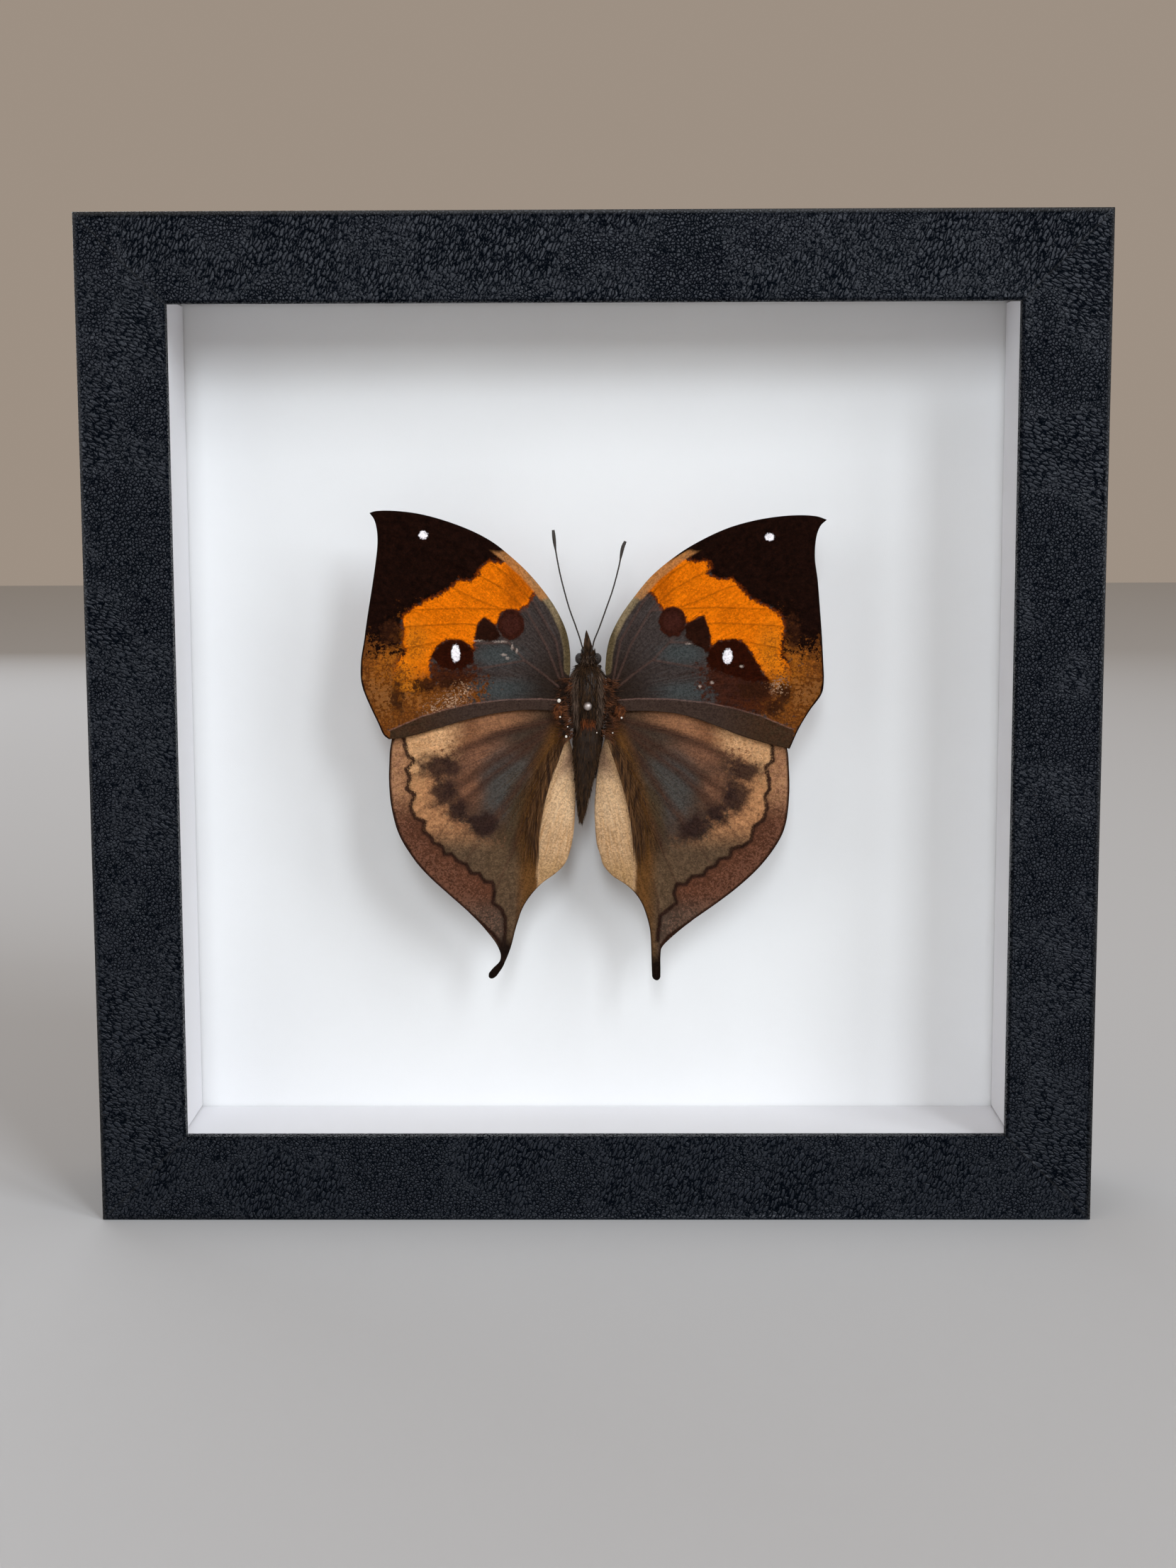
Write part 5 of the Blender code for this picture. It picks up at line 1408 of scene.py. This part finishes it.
@dataclass
class Insect:
    """The butterfly's body: skin, hair, eyes, feelers, legs and the pin through it."""

    setting: Setting
    random: np.random.Generator
    thorax_half: tuple[float, float, float] = (3.7, 3.3, 7.4)
    thorax_place: tuple[float, float, float] = (0.0, 0.6, 1.2)
    head_half: tuple[float, float, float] = (1.9, 1.9, 1.9)
    head_place: tuple[float, float, float] = (0.1, 0.6, 9.3)
    eye_radius: float = 1.15
    eye_spread: float = 1.75
    eye_forward: float = 0.5
    abdomen_top: tuple[float, float, float] = (0.15, 1.0, -3.2)
    abdomen_lean: float = 4.6
    abdomen_side: Path = ((2.8, 0.0), (2.9, -2.5), (2.65, -6.0), (2.15, -9.4), (1.7, -12.6), (1.25, -15.4),
                          (0.7, -18.2), (0.0, -21.4))
    rings: int = 8

    def ball(self, bm: bmesh.types.BMesh, place: Iterable[float], half: Iterable[float], turn: float = 0.0) -> None:
        """Add a stretched ball.

        Args:
            bm: The bmesh that it is added to.
            place: Its centre, in millimetres from the pin.
            half: Its half sizes, in millimetres.
            turn: Its turn about Y, in degrees.
        """
        spot = (Matrix.Translation(self.setting.place(*place)) @ Matrix.Rotation(math.radians(turn), 4, "Y")
                @ Matrix.Diagonal((*(size * MM for size in half), 1.0)))
        bmesh.ops.create_uvsphere(bm, u_segments=40, v_segments=24, radius=1.0, matrix=spot)

    def build(self) -> None:
        """Build the body's pieces in order."""
        self.build_skin()
        self.build_eyes()
        self.build_coat()
        self.build_wing_hair()
        self.build_shoulders()
        self.build_feelers()
        self.build_pin()

    def build_skin(self) -> None:
        """Build thorax, head, ringed abdomen and folded legs."""
        bm = bmesh.new()
        self.ball(bm, self.thorax_place, self.thorax_half)
        self.ball(bm, self.head_place, self.head_half)
        self.spin_abdomen(bm)
        skin = to_mesh("body skin", bm)
        bm = bmesh.new()
        bm.from_mesh(skin)
        bm.from_mesh(strand_mesh("legs", self.legs(), resolution=2))
        bpy.data.meshes.remove(skin)
        material = Chitin("dark insect skin", low="#1c130d", high="#2c1e15").material()
        to_object("body_skin", to_mesh("body skin", bm), [material], replaces=("body",))

    def spin_abdomen(self, bm: bmesh.types.BMesh) -> None:
        """Spin the abdomen's side round its axis, with a swelling for each ring.

        Args:
            bm: The bmesh that it is added to.
        """
        steps = 6 * self.rings
        side = smooth_path(self.abdomen_side, steps)
        swell = 1.0 + 0.035 * np.abs(np.sin(np.pi * np.arange(steps + 1) / 6))
        new = [bm.verts.new((0.0, 0.0, 0.0))]
        new += [bm.verts.new((radius * MM * grow, 0.0, height * MM))
                for (radius, height), grow in zip(side[:-1], swell)]
        new.append(bm.verts.new((0.0, 0.0, side[-1][1] * MM)))
        edges = [bm.edges.new(pair) for pair in zip(new, new[1:])]
        made = bmesh.ops.spin(bm, geom=[*new, *edges], cent=(0, 0, 0), axis=(0, 0, 1), angle=2 * math.pi,
                              steps=28, use_merge=True)
        whole = {vertex for item in made["geom_last"] for vertex in getattr(item, "verts", (item,))}
        connected = [v for v in bm.verts if v.co.length < 0.03 and v.index == -1]
        body = list({*connected, *whole, *new})
        bmesh.ops.remove_doubles(bm, verts=[v for v in body if v.is_valid], dist=0.001 * MM)
        body = [v for v in bm.verts if v.is_valid and v.co.length < 0.03]
        bmesh.ops.scale(bm, vec=(1.0, 0.9, 1.0), verts=body)
        bmesh.ops.rotate(bm, matrix=Matrix.Rotation(math.radians(self.abdomen_lean), 3, "Y"), verts=body)
        bmesh.ops.translate(bm, vec=self.setting.place(*self.abdomen_top), verts=body)
        bmesh.ops.recalc_face_normals(bm, faces=bm.faces)

    def legs(self) -> list[Strand]:
        """Six legs, folded between the thorax and the board.

        Returns:
            A strand for each leg.
        """
        routes: tuple[Path, ...] = (
            ((-1.4, 2.6, 5.4), (-2.4, 4.6, 7.4), (-2.0, 5.6, 4.2), (-1.6, 5.9, 1.6)),
            ((-1.4, 2.8, 1.6), (-3.0, 5.0, 4.0), (-3.4, 6.6, -1.6), (-2.6, 7.2, -6.6), (-2.2, 7.4, -9.0)),
            ((-1.3, 2.8, -1.8), (-2.6, 5.0, -1.0), (-2.8, 6.8, -8.0), (-1.8, 7.4, -13.6), (-1.4, 7.6, -16.0)),
        )
        legs = []
        for route in routes:
            for way in (1, -1):
                places = tuple(self.setting.place(way * x, y, z) for x, y, z in route)
                radii = tuple(0.38 * MM * (1 - 0.17 * index) for index in range(len(route)))
                legs.append(Strand(places, radii))
        return legs

    def build_eyes(self) -> None:
        """Build the two compound eyes."""
        bm = bmesh.new()
        x, y, z = self.head_place
        for way in (-1, 1):
            half = (0.8 * self.eye_radius, self.eye_radius, self.eye_radius)
            self.ball(bm, (x + way * self.eye_spread, y - self.eye_forward, z), half)
        to_object("eyes", to_mesh("eyes", bm), [CompoundEye().material()])

    def build_coat(self) -> None:
        """Grow the coat of hair on thorax, head, palps and abdomen."""
        groom = Groom(self.setting, self.random)
        thorax, thorax_half = Vector(self.thorax_place), Vector(self.thorax_half)
        head, head_half = Vector(self.head_place), Vector(self.head_half)
        down = Vector((0, 0, -1))

        def is_rusty(way: Vector) -> bool:
            """True behind the pin, where the thorax ends in a rusty patch."""
            return way.y < 0 and way.z < -0.5 and abs(way.x) < 0.36

        def is_pale(way: Vector) -> bool:
            """True on the two paler streaks along the thorax."""
            return way.y < 0.1 and way.z > -0.6 and 0.5 < abs(way.x) < 0.78

        def is_dark(way: Vector) -> bool:
            """True on the rest of the side that shows."""
            return way.y < 0.35 and not is_rusty(way)

        dark = groom.grow(1700, groom.on_ball(thorax, thorax_half, is_dark), down, (1.2, 2.4), 0.075,
                          lift=0.22, stray=0.2, droop=0.1)
        dark += groom.grow(420, groom.on_ball(head, head_half, lambda way: way.y < 0.3 and abs(way.x) < 0.75),
                           Vector((0, -0.2, 0.5)), (0.6, 1.2), 0.06, lift=0.7, stray=0.35)
        dark += self.palp_hairs(groom)
        dark += groom.grow(1100, self.abdomen_root, Vector((-0.1, 0.0, -1.0)), (0.9, 1.7), 0.065,
                           lift=0.12, stray=0.12, droop=0.05)
        pale = groom.grow(420, groom.on_ball(thorax, thorax_half, is_pale), down, (1.6, 3.0), 0.06,
                          lift=0.3, stray=0.12, droop=0.1)
        pale += groom.grow(160, groom.on_ball(head, head_half, lambda way: way.y < 0 and way.z < 0.3),
                           down, (0.5, 1.0), 0.05, lift=0.6, stray=0.4)
        rusty = groom.grow(420, groom.on_ball(thorax, thorax_half, is_rusty), down, (0.9, 1.7), 0.07,
                           lift=0.35, stray=0.3, droop=0.1)
        coats = {"dark": (dark, Hair("dark body hair", dark="#150b05", light="#523a25")),
                 "pale": (pale, Hair("grey-brown body hair", dark="#3b2d24", light="#80695a")),
                 "rusty": (rusty, Hair("rusty body hair", dark="#4a210c", light="#96512a"))}
        for name, (hairs, hair) in coats.items():
            to_object(f"body_coat_{name}", strand_mesh(f"{name} coat", hairs), [hair.material()])

    def palp_hairs(self, groom: Groom) -> list[Strand]:
        """Hairs that close to a point in front of the head.

        Args:
            groom: What grows them.

        Returns:
            The hairs.
        """
        hairs = []
        for _ in range(260):
            share = self.random.uniform(0.0, 1.0)
            width = 0.95 * (1.0 - share) ** 0.8
            angle = self.random.uniform(0.0, 2 * math.pi)
            start = Vector((0.1 - 0.35 * share + width * math.cos(angle), 0.2 + width * math.sin(angle) * 0.8,
                            10.6 + 3.4 * share))
            tip = Vector((-0.28, 0.1, 15.5))
            end = start.lerp(tip, 0.45 + 0.3 * self.random.random())
            bulge = Vector((math.cos(angle), math.sin(angle), 0.0)) * 0.12
            points = (start, start.lerp(end, 0.5) + bulge, end)
            hairs.append(Strand(tuple(self.setting.place(*point) for point in points),
                                (0.09 * MM, 0.07 * MM, 0.015 * MM)))
        return hairs

    def abdomen_root(self) -> tuple[Vector, Vector]:
        """A hair's root on the abdomen and the normal there.

        Returns:
            The place in millimetres from the pin, and the normal.
        """
        down = self.random.uniform(0.0, 1.0) ** 0.9 * -20.5
        radius = float(np.interp(-down, [-z for _, z in self.abdomen_side], [r for r, _ in self.abdomen_side]))
        angle = self.random.uniform(math.pi * 0.92, math.pi * 2.08)
        normal = Vector((math.cos(angle), math.sin(angle), 0.0))
        lean = Matrix.Rotation(math.radians(self.abdomen_lean), 3, "Y")
        place = lean @ Vector((normal.x * radius, normal.y * radius * 0.9, down)) + Vector(self.abdomen_top)
        return place, (lean @ normal)

    def build_wing_hair(self) -> None:
        """Lay the long brown hairs along the hindwings, beside the cream fold, and tufts at the bases."""
        hairs, tufts = [], []
        sides = ((-1, LEFT_HINDWING_PATTERN.fold), (1, RIGHT_HINDWING_PATTERN.fold))
        for way, fold in sides:
            track = smooth_path(fold, 60)
            for _ in range(330):
                at = self.random.uniform(0.0, 0.72)
                here = track[int(at * 60)]
                ahead = track[min(60, int(at * 60) + 14)] - here
                aside = abs(self.random.normal(0.0, 1.5)) - 0.3
                reach = self.random.uniform(0.55, 1.0)
                points = []
                for share in (0.0, 0.35, 0.7, 1.0):
                    x = here[0] + way * aside * (1 + 0.5 * share) + ahead[0] * share * reach
                    z = here[1] + ahead[1] * share * reach
                    lift = -0.3 - 0.35 * math.sin(math.pi * share)
                    points.append(self.setting.place(x, 0.45 - 0.07 * abs(x) + lift, z))
                hairs.append(Strand(tuple(points), (0.05 * MM, 0.06 * MM, 0.04 * MM, 0.012 * MM)))
            for _ in range(190):
                z = self.random.uniform(-6.5, 5.5)
                start = Vector((way * self.random.uniform(2.6, 4.2), -0.8 - self.random.uniform(0, 0.8), z))
                out = Vector((way * self.random.uniform(1.6, 3.8), self.random.uniform(-0.35, 0.25),
                              self.random.uniform(-2.4, 0.8)))
                points = (start, start + out * 0.5 + Vector((0, -0.35, 0)), start + out)
                tufts.append(Strand(tuple(self.setting.place(*point) for point in points),
                                    (0.09 * MM, 0.07 * MM, 0.015 * MM)))
        brown = Hair("brown wing hair", dark="#2d1a0d", light="#6b4829", strand_mm=(0.3, 0.3, 4.0)).material()
        rusty = Hair("shoulder hair", dark="#23160e", light="#6a3f26", strand_mm=(1.2, 1.2, 1.2)).material()
        to_object("hindwing_hair", strand_mesh("hindwing hair", hairs), [brown])
        to_object("shoulder_tufts", strand_mesh("shoulder tufts", tufts), [rusty])

    def build_shoulders(self) -> None:
        """Build the small plates over the forewings' joints, with the pale scale spots on them."""
        bm = bmesh.new()
        plates = ((-5.9, -1.75, -1.0, 0.6, 0.35, 1.1), (6.4, -1.75, -1.1, 0.75, 0.35, 0.95))
        for x, y, z, *half in plates:
            self.ball(bm, (x, y, z), half, turn=-12 if x > 0 else 12)
        rusty = Chitin("rusty joint plate", low="#2e1608", high="#5f3418").material()
        to_object("joint_plates", to_mesh("joint plates", bm), [rusty])
        bm = bmesh.new()
        specks = ((-5.8, -2.25, 1.0, 0.36), (-5.6, -2.2, -2.3, 0.18), (6.8, -2.2, -2.5, 0.2),
                  (-4.4, -1.9, -6.3, 0.24), (-4.1, -2.1, -4.3, 0.13), (1.8, -3.3, -5.4, 0.12),
                  (5.0, -1.8, -5.6, 0.13))
        for x, y, z, size in specks:
            self.ball(bm, (x, y, z), (size, size * 0.6, size * 1.1))
        pale = Chitin("pale scale tuft", low="#c9bdb0", high="#f2ece4", roughness=0.7).material()
        to_object("pale_specks", to_mesh("pale specks", bm), [pale])
        groom = Groom(self.setting, self.random)
        tufts = []
        for x, y, z, *half in plates:
            tufts += groom.grow(150, groom.on_ball(Vector((x, y, z)), Vector(half) * 1.15, lambda way: way.y < 0.3),
                                Vector((0.3 * x / abs(x), 0, -1)), (0.5, 1.3), 0.05, lift=0.35, stray=0.35)
        fox = Hair("fox-red joint hair", dark="#3f1f0e", light="#935630", strand_mm=(0.6, 0.6, 0.6)).material()
        to_object("joint_tufts", strand_mesh("joint tufts", tufts), [fox])

    def build_feelers(self) -> None:
        """Build the clubbed feelers."""
        routes: dict[str, Path] = {
            "left": ((-1.15, -1.5, 12.0), (-1.6, -1.8, 13.6), (-2.5, -2.1, 16.3), (-3.7, -2.3, 19.7),
                     (-4.8, -2.4, 23.7), (-5.6, -2.4, 27.1), (-6.4, -2.3, 31.6), (-6.8, -2.2, 35.2)),
            "right": ((1.05, -1.5, 12.0), (1.35, -1.8, 13.2), (2.4, -2.1, 15.8), (3.7, -2.3, 19.4),
                      (5.1, -2.4, 23.4), (6.3, -2.4, 27.9), (7.0, -2.3, 31.4), (7.6, -2.2, 32.9)),
        }
        material = Chitin("ringed feeler", low="#1d1512", high="#4b443f", mottle_mm=0.35).material()
        for side, route in routes.items():
            steps = 110
            places = smooth_path(((route[0][0] * 0.6, -0.6, 10.4), *route), steps)
            radii = []
            for index in range(steps + 1):
                club = max(0.0, (index / steps - 0.84) / 0.16)
                ring = 1.0 + 0.12 * math.cos(index * 2.4)
                radii.append((0.15 * ring + 0.21 * math.sin(club * 2.5)) * MM)
            strand = Strand(tuple(self.setting.place(*place) for place in places), tuple(radii))
            to_object(f"feeler_{side}", strand_mesh(f"feeler {side}", [strand], resolution=3), [material],
                      replaces=(f"antenna_{side}",))

    def build_pin(self) -> None:
        """Spin the pin: a small round head, the shaft and its point in the board."""
        head, shaft, length, point = 0.85, 0.25, 23.8, 1.2
        neck = math.acos(shaft / head)
        arc = [RIGHT_ANGLE - (RIGHT_ANGLE + neck) * step / 12 for step in range(13)]
        side = [(head * math.cos(angle), head * math.sin(angle) - head) for angle in arc]
        side[0] = (0.0, 0.0)
        side += [(shaft, point - length), (0.0, -length)]
        bm = bmesh.new()
        corners = [bm.verts.new((radius * MM, 0.0, height * MM)) for radius, height in side]
        edges = [bm.edges.new(pair) for pair in zip(corners, corners[1:])]
        bmesh.ops.spin(bm, geom=[*corners, *edges], cent=(0, 0, 0), axis=(0, 0, 1), angle=2 * math.pi,
                       steps=24, use_merge=True)
        bmesh.ops.remove_doubles(bm, verts=bm.verts, dist=0.0005 * MM)
        bmesh.ops.rotate(bm, matrix=Matrix.Rotation(RIGHT_ANGLE, 3, "X"), verts=bm.verts)
        bmesh.ops.translate(bm, vec=self.setting.place(0.0, -4.8, 0.0), verts=bm.verts)
        bmesh.ops.recalc_face_normals(bm, faces=bm.faces)
        steel = StampedMetal("stainless pin steel", bright="#cfc6c2", dull="#a59b97", roughness=0.5,
                             lines_mm=(0.5, 0.5, 0.5)).material()
        to_object("pin_steel", to_mesh("pin", bm), [steel], replaces=("pin",))


@dataclass
class Studio:
    """Camera at the photograph's angle, a plain pale floor and soft light.

    Attributes:
        eye: Where the camera is.
        ahead: The way it looks.
        up: The picture's upward direction.
        lens: Focal length in millimetres on a 36 mm sensor.
        light_distance: How far in front the softboxes hang.
        key_tint: Their daylight tint, beside the warmer surround.
    """

    eye: tuple[float, float, float] = (0.0034, -0.4776, 0.1478)
    ahead: tuple[float, float, float] = (-0.0100, 0.9918, -0.1276)
    up: tuple[float, float, float] = (0.0020, 0.1277, 0.9918)
    lens: float = 53.56
    light_distance: float = 1.6
    key_tint: tuple[float, float, float] = (0.845, 0.91, 1.0)

    def build(self) -> None:
        """Set up camera, floor and light."""
        self.place_camera()
        self.lay_floor()
        self.light()

    def place_camera(self) -> None:
        """Place the camera and make it the scene's."""
        lens = bpy.data.cameras.new("camera")
        lens.lens = self.lens
        lens.sensor_width = 36.0
        lens.clip_start = 0.01
        camera = bpy.data.objects.new("camera", lens)
        bpy.context.scene.collection.objects.link(camera)
        back = -Vector(self.ahead).normalized()
        right = Vector(self.up).cross(back).normalized()
        turn = Matrix((right, back.cross(right), back)).transposed()
        camera.matrix_world = Matrix.Translation(self.eye) @ turn.to_4x4()
        bpy.context.scene.camera = camera

    def lay_floor(self) -> None:
        """Lay a plain pale floor under the part."""
        bm = bmesh.new()
        bmesh.ops.create_grid(bm, x_segments=1, y_segments=1, size=3.0)
        floor = bpy.data.objects.new("floor", to_mesh("floor", bm))
        bpy.context.scene.collection.objects.link(floor)
        material, _, shader = new_material("matt studio floor")
        shader.inputs["Base Color"].default_value = linear("#c4c4c3")
        shader.inputs["Roughness"].default_value = 0.9
        floor.data.materials.append(material)

    def light(self) -> None:
        """Light the part softly from the upper right, with a pale surround."""
        world = bpy.data.worlds.new("pale surround")
        world.use_nodes = True
        surround = world.node_tree.nodes["Background"]
        surround.inputs["Color"].default_value = linear("#ffead6")
        surround.inputs["Strength"].default_value = 0.34
        bpy.context.scene.world = world
        self.softbox("tall softbox", (0.56, 0.71), (0.48, 1.02), 22.0)
        self.softbox("middle softbox", (-0.03, 0.42), (0.26, 0.63), 11.3)
        self.softbox("side softbox", (1.28, 0.88), (1.3, 2.07), 49.0)
        self.softbox("left fill", (-1.26, 0.3), (2.55, 0.81), 13.5)
        self.softbox("rear softbox", (-0.5, 0.5), (1.6, 1.0), 14.0, behind=True)
        bpy.context.scene.view_settings.view_transform = "Standard"

    def softbox(self, name: str, slope: tuple[float, float], size: tuple[float, float], power: float,
                behind: bool = False) -> None:
        """Hang an oblong softbox in front or behind, square to the specimen's plane.

        Args:
            name: The light's name.
            slope: How far right and up it is from the specimen, for each unit of distance from its plane.
            size: Its width and height.
            power: Its power in watts.
            behind: Whether it lights the back.
        """
        way = -1.0 if behind else 1.0
        lamp = bpy.data.lights.new(name, "AREA")
        lamp.shape = "RECTANGLE"
        lamp.size, lamp.size_y = size
        lamp.energy = power
        lamp.color = self.key_tint
        holder = bpy.data.objects.new(name, lamp)
        holder.location = Vector((slope[0], -way, slope[1])) * self.light_distance + Vector((0, 0, 0.1))
        holder.rotation_euler = (way * RIGHT_ANGLE, 0.0, 0.0)
        bpy.context.scene.collection.objects.link(holder)


def build_wings(setting: Setting) -> None:
    """Build the four wings.

    Args:
        setting: Where the specimen is set.
    """
    fore = WingScales("forewing scales", "#372c28", "#3e3836", FOREWING_MARKINGS).material()
    hind = WingScales("hindwing scales", "#4a3c33", "#35291f", HINDWING_MARKINGS).material()
    wings = (
        (Forewing("forewing_left", FOREWING_LEFT, setting, 0.75, (150, 150), FOREWING_VEINS, 0.965,
                  pattern=LEFT_FOREWING_PATTERN), fore, "forewing"),
        (Forewing("forewing_right", FOREWING_RIGHT, setting, 0.75, (150, 150), FOREWING_VEINS,
                  pattern=RIGHT_FOREWING_PATTERN), fore, "forewing"),
        (Hindwing("hindwing_left", HINDWING_LEFT, setting, -0.45, (260, 84), HINDWING_VEINS, 1.02,
                  pattern=LEFT_HINDWING_PATTERN), hind, "hindwing"),
        (Hindwing("hindwing_right", HINDWING_RIGHT, setting, -0.45, (260, 84), HINDWING_VEINS,
                  pattern=RIGHT_HINDWING_PATTERN), hind, "hindwing"),
    )
    for wing, material, slot in wings:
        wing.build(material, slot)


def main() -> None:
    """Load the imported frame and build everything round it."""
    logging.basicConfig(level=logging.INFO, format="%(name)s %(message)s")
    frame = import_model()
    Studio().build()
    ShadowBox(frame["nodes"]).build()
    setting = Setting()
    build_wings(setting)
    Insect(setting, np.random.default_rng(7)).build()


if __name__ == "__main__":
    main()
